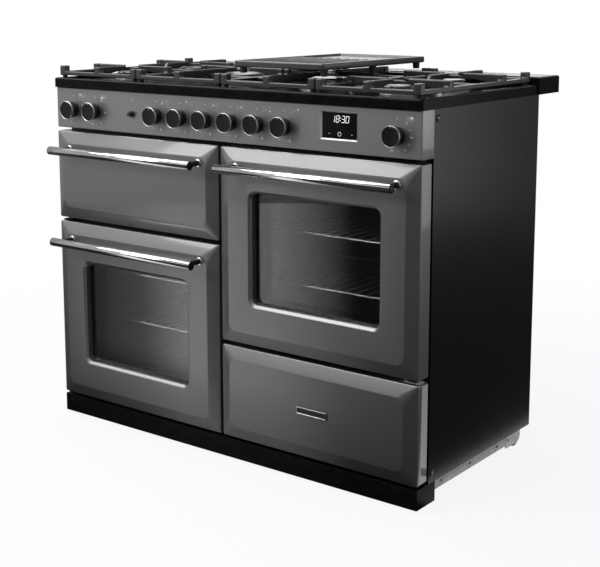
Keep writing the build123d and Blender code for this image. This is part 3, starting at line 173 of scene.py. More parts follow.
# Light: world fill, floor, lamps by place, aim, size and power, and lamps along the oven shelves
WORLD_FILL = 0.35
FLOOR_RADIUS = 9.0
OVERHEAD = ((-0.65, -0.4, 2.7), (-0.35, 0, 0.8), (3.4, 2.0), 52)
LEFT_KEY = ((-1.55, -2.5, 1.97), (0, -0.2, 0.6), (1.4, 0.8), 23)
SHELF_FRONTS = ((-0.27, 0.264), (-0.27, 0.388), (0.27, 0.436), (0.27, 0.560))
SHELF_FRONT_Y = -0.2007
SHELF_LAMP_SHIFT = 0.06
SHELF_LAMP_AWAY = (0, -0.016, -0.005)
SHELF_LAMP_SIZE = (0.24, 0.006)
SHELF_LAMP_POWER = 0.05


class Look:
    """One material: a principled shader and the textures that drive it."""

    def __init__(self, name, **sockets):
        self.material = bpy.data.materials.new(name)
        self.material.use_nodes = True
        self.tree = self.material.node_tree
        self.shader = self.tree.nodes["Principled BSDF"]
        for socket, value in sockets.items():
            self.shader.inputs[socket.replace("_", " ")].default_value = value

    def node(self, kind, **inputs):
        """New node with set inputs."""
        made = self.tree.nodes.new(kind)
        for name, value in inputs.items():
            made.inputs[name].default_value = value
        return made

    def place(self, stretch=(1, 1, 1)):
        """Object coordinates, stretched, as a socket."""
        coordinates = self.node("ShaderNodeTexCoord")
        mapping = self.node("ShaderNodeMapping", Scale=stretch)
        self.tree.links.new(coordinates.outputs["Object"], mapping.inputs["Vector"])
        return mapping.outputs["Vector"]

    def noise(self, scale, detail=2.0, stretch=(1, 1, 1)):
        """Soft noise, as a socket."""
        texture = self.node("ShaderNodeTexNoise", Scale=scale, Detail=detail)
        self.tree.links.new(self.place(stretch), texture.inputs["Vector"])
        return texture.outputs["Fac"]

    def cells(self, scale):
        """A value for each cell of a crystal pattern, as a socket."""
        texture = self.node("ShaderNodeTexVoronoi", Scale=scale)
        self.tree.links.new(self.place(), texture.inputs["Vector"])
        return texture.outputs["Color"]

    def tone(self, value, dark, light, low=0.35, high=0.65):
        """Base colour that goes from dark to light as the value rises."""
        ramp = self.node("ShaderNodeValToRGB")
        for stop, position, colour in zip(ramp.color_ramp.elements, (low, high), (dark, light)):
            stop.position = position
            stop.color = (*colour, 1)
        self.tree.links.new(value, ramp.inputs["Fac"])
        self.tree.links.new(ramp.outputs["Color"], self.shader.inputs["Base Color"])
        return self

    def rough(self, value, low, high):
        """Roughness that goes from low to high as the value rises."""
        span = self.node("ShaderNodeMapRange", **{"To Min": low, "To Max": high})
        self.tree.links.new(value, span.inputs["Value"])
        self.tree.links.new(span.outputs["Result"], self.shader.inputs["Roughness"])
        return self

    def bump(self, value, strength):
        """Fine relief that follows the value."""
        bump = self.node("ShaderNodeBump", Strength=strength, Distance=BUMP_DEPTH)
        self.tree.links.new(value, bump.inputs["Height"])
        self.tree.links.new(bump.outputs["Normal"], self.shader.inputs["Normal"])
        return self


def grey(level, warm=0.0):
    """Grey of a level, tinted a little warm where asked."""
    return (level * (1 + warm), level, level * (1 - warm))


def make_looks():
    """Every material of the cooker by name."""
    looks = {}

    def look(name, **sockets):
        looks[name] = Look(name, **sockets)
        return looks[name]

    for name, dark, light in (("grey_paint", 0.155, 0.215), ("panel_paint", 0.205, 0.28)):
        paint = look(name, Metallic=0.92, Coat_Weight=0.7, Coat_Roughness=0.07)
        paint.tone(paint.noise(2400, 1), grey(dark, 0.012), grey(light, 0.012))
        paint.rough(paint.noise(12), 0.44, 0.48)

    enamel = look("black_enamel", IOR=1.15)
    enamel.tone(enamel.noise(60), grey(0.003), grey(0.006))
    enamel.rough(enamel.noise(25), 0.14, 0.2)

    plinth = look("plinth_paint", Specular_IOR_Level=0.08)
    plinth.tone(plinth.noise(90), grey(0.002), grey(0.005))
    plinth.rough(plinth.noise(40), 0.4, 0.5).bump(plinth.noise(1800), 0.08)

    side = look("side_paint", IOR=1.45)
    side.tone(side.noise(1600, 3), grey(0.0012), grey(0.003))
    side.rough(side.noise(20), 0.2, 0.25).bump(side.noise(1300, 3), 0.06)

    oven = look("oven_enamel")
    oven.tone(oven.noise(900, 1), grey(0.018), grey(0.026), 0.58, 0.72)
    oven.rough(oven.noise(50), 0.24, 0.3)

    zinc = look("zinc", Metallic=1.0)
    zinc.tone(zinc.cells(130), grey(0.26), grey(0.34), 0.2, 0.8)
    zinc.rough(zinc.noise(70), 0.34, 0.5).bump(zinc.noise(200), 0.05)

    chrome = look("chrome", Metallic=1.0)
    chrome.tone(chrome.noise(18), grey(0.56), grey(0.64))
    chrome.rough(chrome.noise(900, 2, (0.02, 1, 1)), 0.07, 0.13)

    wire = look("oven_wire", Metallic=1.0)
    wire.tone(wire.noise(120), grey(0.6), grey(0.75))
    wire.rough(wire.noise(300), 0.16, 0.26)

    shelf = look("shelf_wire", Metallic=0.3)
    shelf.tone(shelf.noise(120), grey(0.65), grey(0.8))
    shelf.rough(shelf.noise(300), 0.3, 0.4)

    iron = look("cast_iron", IOR=1.5)
    iron.tone(iron.noise(500, 3), grey(0.024), grey(0.042))
    iron.rough(iron.noise(120), 0.2, 0.27).bump(iron.noise(900, 3), 0.08)

    plate = look("griddle_iron", Metallic=0.3)
    plate.tone(plate.noise(400, 3), grey(0.05), grey(0.08))
    plate.rough(plate.noise(90), 0.2, 0.27).bump(plate.noise(1100, 3), 0.05)

    alloy = look("burner_alloy", Metallic=0.9)
    alloy.tone(alloy.noise(300), grey(0.42), grey(0.55))
    alloy.rough(alloy.noise(500), 0.28, 0.4).bump(alloy.noise(700), 0.05)

    cap = look("cap_enamel", Coat_Weight=0.2)
    cap.tone(cap.noise(200), grey(0.02), grey(0.03))
    cap.rough(cap.noise(60), 0.18, 0.26).bump(cap.noise(600), 0.05)

    knob = look("knob_black", Specular_IOR_Level=0.25)
    knob.tone(knob.noise(800), grey(0.003), grey(0.006))
    knob.rough(knob.noise(300), 0.28, 0.38).bump(knob.noise(2200), 0.05)

    ring = look("knob_ring", Metallic=1.0)
    ring.tone(ring.noise(400), grey(0.46), grey(0.55))
    ring.rough(ring.noise(900), 0.28, 0.38)

    plastic = look("black_plastic")
    plastic.tone(plastic.noise(300), grey(0.008), grey(0.014))
    plastic.rough(plastic.noise(200), 0.25, 0.4).bump(plastic.noise(1500), 0.05)

    display = look("display_glass", Specular_IOR_Level=0.3)
    display.tone(display.noise(30), grey(0.003), grey(0.005))
    display.rough(display.noise(30), 0.06, 0.1)

    glass = look("door_glass", Transmission_Weight=1.0, IOR=1.6)
    glass.tone(glass.noise(6), grey(0.5), grey(0.54))
    glass.rough(glass.noise(40), 0.0, 0.02)

    border = look("glass_border", Coat_Weight=0.3)
    border.tone(border.noise(400), grey(0.002), grey(0.004))
    border.rough(border.noise(60), 0.2, 0.3)

    seal = look("seal_rubber")
    seal.tone(seal.noise(300), grey(0.02), grey(0.035))
    seal.rough(seal.noise(150), 0.6, 0.75).bump(seal.noise(900), 0.2)

    ink = look("white_print")
    ink.tone(ink.noise(800), grey(0.62), grey(0.75))
    ink.rough(ink.noise(300), 0.45, 0.6)

    digits = look("clock_light", Emission_Color=(0.95, 0.97, 1, 1), Emission_Strength=0.9)
    digits.tone(digits.noise(900), grey(0.6), grey(0.7))
    return {name: made.material for name, made in looks.items()}


looks = make_looks()


def piece(name, bm, body, look_names, replaced=(), smooth=SHARP_ANGLE):
    """Object from a finished bmesh, riding on a body and standing for CAD nodes."""
    mesh = bpy.data.meshes.new(name)
    bmesh.ops.recalc_face_normals(bm, faces=bm.faces)
    bm.to_mesh(mesh)
    bm.free()
    for look_name in look_names:
        mesh.materials.append(looks[look_name])
    mesh.shade_smooth()
    mesh.set_sharp_from_angle(angle=math.radians(smooth))
    made = bpy.data.objects.new(name, mesh)
    scene.collection.objects.link(made)
    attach(made, body)
    if replaced:
        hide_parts(*replaced)
    return made


def dress(node, look_name, bevel=0.0):
    """Gives a CAD node its material and, where asked, softened edges."""
    part = nodes[node]
    part.data.materials.clear()
    part.data.materials.append(looks[look_name])
    if bevel:
        weld = part.modifiers.new("weld", "WELD")
        weld.merge_threshold = 0.01 * MM
        edges = part.modifiers.new("soft_edges", "BEVEL")
        edges.width = bevel
        edges.segments = 2
        edges.limit_method = "ANGLE"
        edges.angle_limit = math.radians(SHARP_ANGLE)
        edges.use_clamp_overlap = True
        part.modifiers.new("even_shading", "WEIGHTED_NORMAL")
    return part


def rounded_rectangle(width, height, radius, steps=CORNER_STEPS):
    """Points of a rounded rectangle about the origin, anticlockwise."""
    points = []
    for turn, (side, rise) in enumerate(((1, 1), (-1, 1), (-1, -1), (1, -1))):
        middle = Vector((side * (width / 2 - radius), rise * (height / 2 - radius)))
        for i in range(steps + 1):
            angle = math.radians(90 * (turn + i / steps))
            points.append(middle + radius * Vector((math.cos(angle), math.sin(angle))))
    return points


def rounded_path(points, radii, steps=6):
    """Open path whose inner corners are rounded by arcs."""
    path = [Vector(points[0])]
    for before, corner, after, radius in zip(points, points[1:], points[2:], radii):
        corner = Vector(corner)
        way_in = (Vector(before) - corner).normalized()
        way_out = (Vector(after) - corner).normalized()
        half = way_in.angle(way_out) / 2
        middle = corner + (way_in + way_out).normalized() * radius / math.sin(half)
        start = corner + way_in * radius / math.tan(half) - middle
        end = corner + way_out * radius / math.tan(half) - middle
        for i in range(steps + 1):
            path.append(middle + radius * start.slerp(end, i / steps))
    path.append(Vector(points[-1]))
    return path


def window_outline(grow):
    """Outline of the oven door window, grown on all sides."""
    return rounded_rectangle(WINDOW[0] + 2 * grow, WINDOW[1] + 2 * grow, WINDOW_RADIUS + grow)


def upright_loop(bm, middle, depth, outline):
    """Vertices of an outline that stands across Y at a depth."""
    return [bm.verts.new((middle.x + p.x, depth, middle.z + p.y)) for p in outline]


def bridge(bm, loops):
    """Quads between neighbouring closed loops of vertices."""
    for near, far in zip(loops, loops[1:]):
        for i in range(len(near)):
            j = (i + 1) % len(near)
            bm.faces.new((near[i], near[j], far[j], far[i]))


def lathe(bm, profile, place, turn, segments=64, wave=None, material=0, hollow=False):
    """Turns (radius, height) points about a local Z axis, capped at both ends or closed as a ring."""
    spots = Matrix.Translation(place) @ turn
    loops = []
    for radius, height in profile:
        loop = []
        for i in range(segments):
            angle = 2 * math.pi * i / segments
            grown = radius + (wave(angle, height) if wave else 0.0)
            local = Vector((grown * math.cos(angle), grown * math.sin(angle), height))
            loop.append(bm.verts.new(spots @ local))
        loops.append(loop)
    before = set(bm.faces)
    bridge(bm, loops + loops[:1] if hollow else loops)
    if not hollow:
        bm.faces.new(loops[0])
        bm.faces.new(loops[-1])
    for face in set(bm.faces) - before:
        face.material_index = material


def carve(made, cutter, smooth=SHARP_ANGLE):
    """Applies a piece's modifiers and cuts a bmesh out of it."""
    bmesh.ops.recalc_face_normals(cutter, faces=cutter.faces)
    mesh = bpy.data.meshes.new("cutter")
    cutter.to_mesh(mesh)
    cutter.free()
    tool = bpy.data.objects.new("cutter", mesh)
    scene.collection.objects.link(tool)
    cut = made.modifiers.new("cut", "BOOLEAN")
    cut.object = tool
    cut.use_self = True
    bpy.context.view_layer.update()
    now = bpy.context.evaluated_depsgraph_get()
    made.data = bpy.data.meshes.new_from_object(made.evaluated_get(now))
    made.modifiers.clear()
    made.data.shade_smooth()
    made.data.set_sharp_from_angle(angle=math.radians(smooth))
    bpy.data.objects.remove(tool)


def box_into(bm, low, high):
    """Adds a plain box between two corners."""
    low, high = Vector(low), Vector(high)
    size = Matrix.Diagonal((*(high - low), 1))
    bmesh.ops.create_cube(bm, size=1.0, matrix=Matrix.Translation((low + high) / 2) @ size)


def as_sheet(made):
    """Gives a piece the thickness of sheet metal, inwards from its face."""
    sheet = made.modifiers.new("sheet", "SOLIDIFY")
    sheet.thickness = SHEET
    sheet.offset = -1


def cast(node, look_name):
    """Gives a CAD node its material and the soft edges of a casting."""
    part = dress(node, look_name)
    skin = part.modifiers.new("cast_skin", "REMESH")
    skin.mode = "VOXEL"
    skin.voxel_size = 1.4 * MM
    skin.use_smooth_shade = True
    soft = part.modifiers.new("cast_edges", "SMOOTH")
    soft.factor = 0.5
    soft.iterations = 7
    fewer = part.modifiers.new("fewer_faces", "DECIMATE")
    fewer.ratio = 0.15


TO_COOK = Matrix.Rotation(math.radians(90), 4, "X")
TO_RIGHT = Matrix.Rotation(math.radians(90), 4, "Y")


def pressed_front(node, body, window=False):
    """Pressed skin with soft creases and, if asked, a window's lip and reveal; gives its lower rim too."""
    low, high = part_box(node)
    width, height = high.x - low.x, high.z - low.z
    middle = (low + high) / 2
    back, face = high.y, low.y
    rim = face + RISE
    profile = rounded_path(
        [(0, back), (0, rim), (BEVEL, face), (2 * BEVEL, face)], (RIM_ROUND, CREASE_ROUND))
    bm = bmesh.new()
    loops = []
    for inset, depth in profile[:-1]:
        share = min(inset / BEVEL, 1.0)
        radius = EDGE_RADIUS + (CREASE_RADIUS - EDGE_RADIUS) * share
        outline = rounded_rectangle(width - 2 * inset, height - 2 * inset, radius)
        loops.append(upright_loop(bm, middle, depth, outline))
    if window:
        corners = [(2 * WINDOW_LIP, face), (WINDOW_LIP, face), (0, face + WINDOW_LIP), (0, face + REVEAL)]
        for grow, depth in rounded_path(corners, (LIP_ROUND, LIP_ROUND))[1:]:
            loops.append(upright_loop(bm, middle, depth, window_outline(grow)))
    bridge(bm, loops)
    if not window:
        bm.faces.new(loops[-1])
    made = piece(f"{node}_pressing", bm, body, ["grey_paint"], [node], SHEET_SHARP_ANGLE)
    as_sheet(made)
    return made, Vector((middle.x, rim, low.z))


def drop_hinge_slots(made, at):
    """Slots in the lower wall for the two fixed arms of a drop-down door."""
    cutter = bmesh.new()
    for side in (-1, 1):
        x = at.x + side * HINGE_SPREAD / 2
        box_into(cutter, (x - HINGE_SLOT / 2, at.y + SLOT_FRONT, at.z - CUT_BELOW),
                 (x + HINGE_SLOT / 2, at.y + SLOT_BACK, at.z + SLOT_TOP))
    carve(made, cutter, SHEET_SHARP_ANGLE)


def side_hinge_holes(made, at):
    """Holes in the top and bottom walls for the upright hinge pins of a side-hung door."""
    side = 1 if at.x > 0 else -1
    spot = Vector((side * HINGE_PIN_X, at.y + HINGE_PIN_BACK, at.z - CUT_BELOW))
    cutter = bmesh.new()
    lathe(cutter, [(HINGE_HOLE, 0), (HINGE_HOLE, PIN_LENGTH)], spot, Matrix.Identity(4), 24)
    carve(made, cutter, SHEET_SHARP_ANGLE)


def folded_panel(node, hole_spots):
    """Control panel folded from sheet, with holes for spindles, button and clock."""
    low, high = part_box(node)
    width, height = high.x - low.x, high.z - low.z
    middle = (low + high) / 2
    profile = rounded_path([(0, high.y), (0, low.y), (BEVEL, low.y)], (PANEL_FOLD,))
    profile.insert(-1, Vector((PANEL_FOLD + 0.5 * MM, low.y)))
    bm = bmesh.new()
    loops = []
    for inset, depth in profile:
        outline = rounded_rectangle(width - 2 * inset, height - 2 * inset, PANEL_CORNER, 3)
        loops.append(upright_loop(bm, middle, depth, outline))
    bridge(bm, loops)
    bm.faces.new(loops[-1])
    made = piece(f"{node}_folded", bm, "cooker_body", ["panel_paint"], [node])
    as_sheet(made)
    cutter = bmesh.new()
    for spot in hole_spots:
        lathe(cutter, [(SPINDLE_HOLE, -HOLE_REACH), (SPINDLE_HOLE, HOLE_REACH)], spot, TO_COOK, 32)
    clock_low, clock_high = clock_opening()
    reach = Vector((0, HOLE_REACH, 0))
    box_into(cutter, clock_low - reach, clock_high + reach)
    carve(made, cutter)


def clock_opening():
    """Corners of the panel's opening for the clock, from the panel's face to the clock glass."""
    low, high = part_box("clock_module")
    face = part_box("control_panel")[0].y
    edge = Vector((CLOCK_FRAME, 0, CLOCK_FRAME))
    low, high = low + edge, high - edge
    return Vector((low.x, face, low.z)), Vector((high.x, face + CLOCK_RECESS, high.z))


def frit_border(node, body):
    """Black printed border behind the outer pane."""
    low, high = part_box(node)
    middle = (low + high) / 2
    depth = low.y + PANE + BORDER_GAP
    bm = bmesh.new()
    loops = []
    rings = ((BORDER_OUT, 0), (BORDER_OUT, BORDER_THICK), (-BORDER_IN, BORDER_THICK), (-BORDER_IN, 0))
    for grow, back in rings + rings[:1]:
        loops.append(upright_loop(bm, middle, depth + back, window_outline(grow)))
    bridge(bm, loops)
    bmesh.ops.remove_doubles(bm, verts=bm.verts, dist=1e-6)
    piece(f"{node}_border", bm, body, ["glass_border"])


def handle(node, body):
    """Polished bar with dark ends, on two dark posts with small bright feet."""
    low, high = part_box(node)
    bar_y = low.y + BAR_RADIUS
    bar_z = (low.z + high.z) / 2
    middle_x = (low.x + high.x) / 2
    half = (high.x - low.x) / 2
    bm = bmesh.new()
    edge, core = BAR_RADIUS - BAR_CHAMFER, BAR_RADIUS - 4 * BAR_CHAMFER
    bar = [(core, -half), (edge, -half), (BAR_RADIUS, BAR_CHAMFER - half),
           (BAR_RADIUS, half - BAR_CHAMFER), (edge, half), (core, half)]
    lathe(bm, bar, (middle_x, bar_y, bar_z), TO_RIGHT, 96)
    for face in bm.faces:
        from_middle = abs(face.calc_center_median().x - middle_x)
        face.material_index = 1 if from_middle > half - BAR_CHAMFER else 0
    reach = high.y - bar_y
    foot = [(10 * MM, 0), (10 * MM, 1.2 * MM), (9 * MM, 2.2 * MM), (6 * MM, 2.4 * MM)]
    post = [(6.8 * MM, 1 * MM), (6.6 * MM, reach / 2), (7.4 * MM, reach - BAR_RADIUS),
            (7.4 * MM, reach - 2 * MM)]
    for side in (-1, 1):
        spot = (middle_x + side * POST_HALF_SPACING, high.y, bar_z)
        lathe(bm, foot, spot, TO_COOK, 64)
        lathe(bm, post, spot, TO_COOK, 64, material=1)
    piece(f"{node}_polished", bm, body, ["chrome", "knob_black"], [node], 50)


def knob(node):
    """Black knob with shallow flutes, a bright ring at its front edge and a white pointer."""
    low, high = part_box(node)
    middle = (low + high) / 2
    front = Vector((middle.x, low.y + KNOB_DEPTH, middle.z))
    r, deep = KNOB_RADIUS, KNOB_DEPTH

    def flutes(angle, height):
        fluted = 0.2 * deep < height < 0.7 * deep
        return FLUTE_DEPTH * math.cos(KNOB_FLUTES * angle) if fluted else 0.0

    bm = bmesh.new()
    body = [(r * 0.76, 0.8 * MM), (r * 0.82, 0.8 * MM), (r * 0.84, 0.1 * deep),
            (r * 0.86, 0.25 * deep), (r * 0.89, 0.65 * deep), (r * 0.95, 0.74 * deep),
            (r * 0.95, 0.9 * deep), (r * 0.5, 0.9 * deep)]
    lathe(bm, body, front, TO_COOK, 160, flutes)
    ring = [(r * 0.93, 0.8 * deep), (r * 0.985, 0.81 * deep), (r, 0.84 * deep), (r, 0.95 * deep),
            (r * 0.985, 0.985 * deep), (r * 0.965, deep), (r * 0.945, 0.985 * deep),
            (r * 0.935, 0.95 * deep)]
    lathe(bm, ring, front, TO_COOK, 96, material=1, hollow=True)
    cap = [(r * 0.93, 0.88 * deep), (r * 0.93, 0.955 * deep), (r * 0.8, 0.945 * deep),
           (r * 0.4, 0.93 * deep), (r * 0.05, 0.925 * deep)]
    lathe(bm, cap, front, TO_COOK, 96)
    size = Matrix.Diagonal((0.9 * MM, 0.8 * MM, r * 0.11, 1))
    at = Matrix.Translation(front + Vector((0, -deep * 0.955, r * 0.84)))
    tick = bmesh.ops.create_cube(bm, size=1.0, matrix=at @ size)["verts"]
    for face in {f for v in tick for f in v.link_faces}:
        face.material_index = 2
    look_names = ["knob_black", "knob_ring", "white_print"]
    piece(f"{node}_turned", bm, node, look_names, [node], 35)
    return front


class Print:
    """Flat print on an upright face, drawn from marks at places along X and Z."""

    def __init__(self, depth):
        self.bm = bmesh.new()
        self.depth = depth

    def shape(self, points):
        """Filled outline."""
        front = [self.bm.verts.new((x, self.depth - PRINT_LIFT, z)) for x, z in points]
        back = [self.bm.verts.new((x, self.depth, z)) for x, z in points]
        bridge(self.bm, [front, back])
        self.bm.faces.new(front)
        self.bm.faces.new(back)

    def bar(self, x, z, wide, high, lean=0.0):
        """Filled rectangle, leaning to the right where asked."""
        tilt = lean * high
        self.shape([(x - wide / 2 - tilt / 2, z - high / 2), (x + wide / 2 - tilt / 2, z - high / 2),
                    (x + wide / 2 + tilt / 2, z + high / 2), (x - wide / 2 + tilt / 2, z + high / 2)])

    def dot(self, x, z, radius):
        """Filled circle."""
        angles = [2 * math.pi / DOT_STEPS * i for i in range(DOT_STEPS)]
        self.shape([(x + radius * math.cos(a), z + radius * math.sin(a)) for a in angles])

    def ring(self, x, z, radius, line, start=0.0, end=360.0):
        """Line along a circle or an arc."""
        turn = (end - start) / RING_STEPS
        angles = [math.radians(start + turn * i) for i in range(RING_STEPS + 1)]
        for a, b in zip(angles, angles[1:]):
            inner, outer = radius - line / 2, radius + line / 2
            self.shape([(x + inner * math.cos(a), z + inner * math.sin(a)),
                        (x + outer * math.cos(a), z + outer * math.sin(a)),
                        (x + outer * math.cos(b), z + outer * math.sin(b)),
                        (x + inner * math.cos(b), z + inner * math.sin(b))])

    def frame(self, x, z, wide, high, line):
        """Outline of a rectangle."""
        for side in (-1, 1):
            self.bar(x + side * (wide - line) / 2, z, line, high)
            self.bar(x, z + side * (high - line) / 2, wide - 2 * line, line)

    def number(self, value, x, z, height):
        """Plain dial number, centred on a spot."""
        curve = bpy.data.curves.new("number", "FONT")
        curve.body = str(value)
        curve.size = height * 1.4
        curve.align_x = "CENTER"
        curve.align_y = "CENTER"
        curve.extrude = PRINT_LIFT / 2
        text = bpy.data.objects.new("number", curve)
        scene.collection.objects.link(text)
        now = bpy.context.evaluated_depsgraph_get()
        mesh = bpy.data.meshes.new_from_object(text.evaluated_get(now))
        mesh.transform(Matrix.Translation((x, self.depth - PRINT_LIFT / 2, z)) @ TO_COOK)
        self.bm.from_mesh(mesh)
        bpy.data.objects.remove(text)
        bpy.data.curves.remove(curve)
        bpy.data.meshes.remove(mesh)


def burner_icon(sheet, x, z, lit):
    """Plan of the hob as small rings, with the knob's own burner filled in."""
    spots = [(-9, -4), (-9, 4), (-3, 0), (3, 0), (9, -4), (9, 4)]
    for i, (across, up) in enumerate(spots):
        if i == lit:
            sheet.dot(x + across * MM, z + up * MM, 2.1 * MM)
        else:
            sheet.ring(x + across * MM, z + up * MM, 1.5 * MM, 0.28 * MM)


def flame_icon(sheet, x, z, size):
    """Small flame mark: a round foot with a point."""
    points = []
    for i in range(17):
        angle = math.radians(-200 + 220 * i / 16)
        points.append((x + 0.5 * size * math.cos(angle), z + 0.5 * size * math.sin(angle)))
    sheet.shape(points + [(x, z + 1.4 * size)])


def front_icon(sheet, x, z, filled):
    """The cooker's four fronts in small, with one filled in."""
    places = [(-5, 2.8, 8, 3.4), (-5, -2.2, 8, 5), (5, 2, 8, 5), (5, -2.8, 8, 3.4)]
    for i, (across, up, wide, high) in enumerate(places):
        spot = (x + across * MM, z + up * MM, wide * MM, high * MM)
        if i == filled:
            sheet.bar(*spot)
        else:
            sheet.frame(*spot, 0.35 * MM)


def heat_dial(sheet, x, z, values):
    """Dots and plain numbers round an oven knob."""
    steps = 2 * (len(values) - 1)
    for i in range(steps + 1):
        angle = math.radians(90 + DIAL_START + (DIAL_END - DIAL_START) * i / steps)
        across, up = math.cos(angle), math.sin(angle)
        if i % 2:
            sheet.dot(x + MARK_RADIUS * across, z + MARK_RADIUS * up, 1.0 * MM)
        else:
            spot = MARK_RADIUS + 1.5 * MM
            sheet.number(values[i // 2], x + spot * across, z + spot * up, 4.2 * MM)


def panel_print(knob_fronts):
    """All the white print on the control panel."""
    sheet = Print(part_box("control_panel")[0].y)
    for i in range(6):
        at = knob_fronts[f"burner_knob_{i + 1}"]
        sheet.dot(at.x, at.z + MARK_RISE, 1.3 * MM)
        burner_icon(sheet, at.x + 29 * MM, at.z + MARK_RISE, i)
        flame_icon(sheet, at.x - 14 * MM, at.z - 31 * MM, 1.8 * MM)
        flame_icon(sheet, at.x + 15 * MM, at.z - 32 * MM, 4.0 * MM)
        sheet.ring(at.x, at.z, MARK_RADIUS - 2 * MM, 0.22 * MM, 225, 312)
    ovens = (("grill_knob", 0, (1, 2, 3, 4, 5)), ("left_oven_knob", 1, (50, 100, 150, 200, 250)),
             ("right_oven_knob", 2, (50, 100, 150, 200, 250)))
    for name, filled, values in ovens:
        at = knob_fronts[name]
        sheet.dot(at.x, at.z + MARK_RISE, 1.3 * MM)
        front_icon(sheet, at.x + 30 * MM, at.z + 36 * MM, filled)
        heat_dial(sheet, at.x, at.z, values)
    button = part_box("push_button")
    across = (button[0].x + button[1].x) / 2
    flame_icon(sheet, across, knob_fronts["grill_knob"].z + 34 * MM, 3.0 * MM)
    piece("panel_print", sheet.bm, "cooker_body", ["white_print"], smooth=20)


SEGMENTS = {0: "abcdef", 1: "bc", 3: "abcdg", 8: "abcdefg"}


def clock_digit(sheet, value, x, z, wide, high):
    """Leaning seven-segment digit."""
    line = 0.14 * wide
    half = high / 2
    flat = {"a": half, "g": 0, "d": -half}
    upright = {"f": (-1, 1), "b": (1, 1), "e": (-1, -1), "c": (1, -1)}
    for name in SEGMENTS[value]:
        if name in flat:
            sheet.bar(x + DIGIT_LEAN * flat[name], z + flat[name], wide - 1.3 * line, line)
        else:
            side, rise = upright[name]
            sheet.bar(x + side * wide / 2 + DIGIT_LEAN * rise * half / 2, z + rise * half / 2, line,
                      half - 0.6 * line, DIGIT_LEAN)


def clock_face():
    """Lit digits and touch marks on the clock glass, and the sloping edge of its recess."""
    low, high = clock_opening()
    middle = (low + high) / 2
    wide, tall = high.x - low.x, high.z - low.z
    sheet = Print(high.y)
    digit_z = high.z - 0.27 * tall
    for value, across in zip((1, 8, 3, 0), (-16.5, -5, 9.4, 20.4)):
        clock_digit(sheet, value, middle.x + across * MM, digit_z, 7.4 * MM, 14 * MM)
    for up in (-3, 3):
        sheet.dot(middle.x + 2.2 * MM + DIGIT_LEAN * up * MM, digit_z + up * MM, 0.9 * MM)
    mark_z = high.z - 0.79 * tall
    sheet.ring(middle.x, mark_z, 4.2 * MM, 0.55 * MM)
    for share in (0.22, 0.83):
        sheet.dot(low.x + share * wide, mark_z, 0.7 * MM)
    piece("clock_digits", sheet.bm, "cooker_body", ["clock_light"], smooth=20)

    bm = bmesh.new()
    loops = []
    for inset, depth in ((-0.6, -0.3), (0, -0.3), (3, 3.7), (0, 3.7), (-0.6, -0.3)):
        outline = rounded_rectangle(wide - 2 * inset * MM, tall - 2 * inset * MM, 0.7 * MM, 2)
        loops.append(upright_loop(bm, middle, low.y + depth * MM, outline))
    bridge(bm, loops)
    bmesh.ops.remove_doubles(bm, verts=bm.verts, dist=1e-6)
    piece("clock_recess_edge", bm, "cooker_body", ["knob_ring"], smooth=20)


def badge_plate():
    """Bare plate with a raised edge on the drawer front."""
    low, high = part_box("drawer_front")
    middle = Vector(((low.x + high.x) / 2, low.y, (low.z + high.z) / 2))
    wide, tall = BADGE
    bm = bmesh.new()
    loops = []
    for inset, lift in BADGE_STEPS:
        radius = (2.6 - 0.3 * inset) * MM
        outline = rounded_rectangle(wide - 2 * inset * MM, tall - 2 * inset * MM, radius, 4)
        loops.append(upright_loop(bm, middle, middle.y + lift * MM, outline))
    bridge(bm, loops)
    bm.faces.new(loops[-1])
    bm.faces.new(loops[0])
    for face in bm.faces:
        face.material_index = 0 if face.calc_center_median().y > middle.y - 2 * MM else 1
    piece("drawer_plate", bm, "drawer", ["black_plastic", "knob_ring"])


def griddle_plate():
    """Cast plate with a rim, round-topped ribs in its front half and separate feet."""
    low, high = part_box("griddle")
    middle = (low + high) / 2
    wide, deep = high.x - low.x, high.y - low.y
    base, top = low.z + GRIDDLE_FOOT, high.z
    well = top - GRIDDLE_WELL
    corners = [(30 * MM, base), (0, base), (0, top), (GRIDDLE_RIM, top), (GRIDDLE_RIM + 2 * MM, well),
               (40 * MM, well)]
    bm = bmesh.new()
    loops = []
    for inset, z in rounded_path(corners, (3 * MM, 3 * MM, 2 * MM, 1.5 * MM)):
        radius = max(8 * MM - inset / 2, 3 * MM)
        outline = rounded_rectangle(wide - 2 * inset, deep - 2 * inset, radius)
        loops.append([bm.verts.new((middle.x + p.x, middle.y + p.y, z)) for p in outline])
    bridge(bm, loops)
    bm.faces.new(loops[0])
    bm.faces.new(loops[-1])
    root, crest = well - 1 * MM, top - 1 * MM
    section = [(-4 * MM, root), (-3 * MM, crest), (3 * MM, crest), (4 * MM, root)]
    across = rounded_path(section, (2 * MM, 2 * MM), 4)
    pitch = (wide - 2 * GRIDDLE_RIM) / GRIDDLE_RIBS
    for i in range(GRIDDLE_RIBS):
        x = middle.x + pitch * (i - (GRIDDLE_RIBS - 1) / 2)
        rib = [[bm.verts.new((x + p.x, low.y + along * MM, root + (p.y - root) * share)) for p in across]
               for along, share in RIB_ENDS]
        bridge(bm, rib)
        bm.faces.new(rib[0])
        bm.faces.new(rib[-1])
    foot = [(7 * MM, 0), (8 * MM, 1 * MM), (9 * MM, base - low.z + 1 * MM)]
    for side in (-1, 1):
        x = middle.x + side * (wide / 2 - 14 * MM)
        for along in (-1, 0, 1):
            y = middle.y + along * (deep / 2 - 20 * MM)
            lathe(bm, foot, (x, y, low.z), Matrix.Identity(4), 24)
    piece("griddle_cast", bm, "griddle", ["griddle_iron"], ["griddle"])


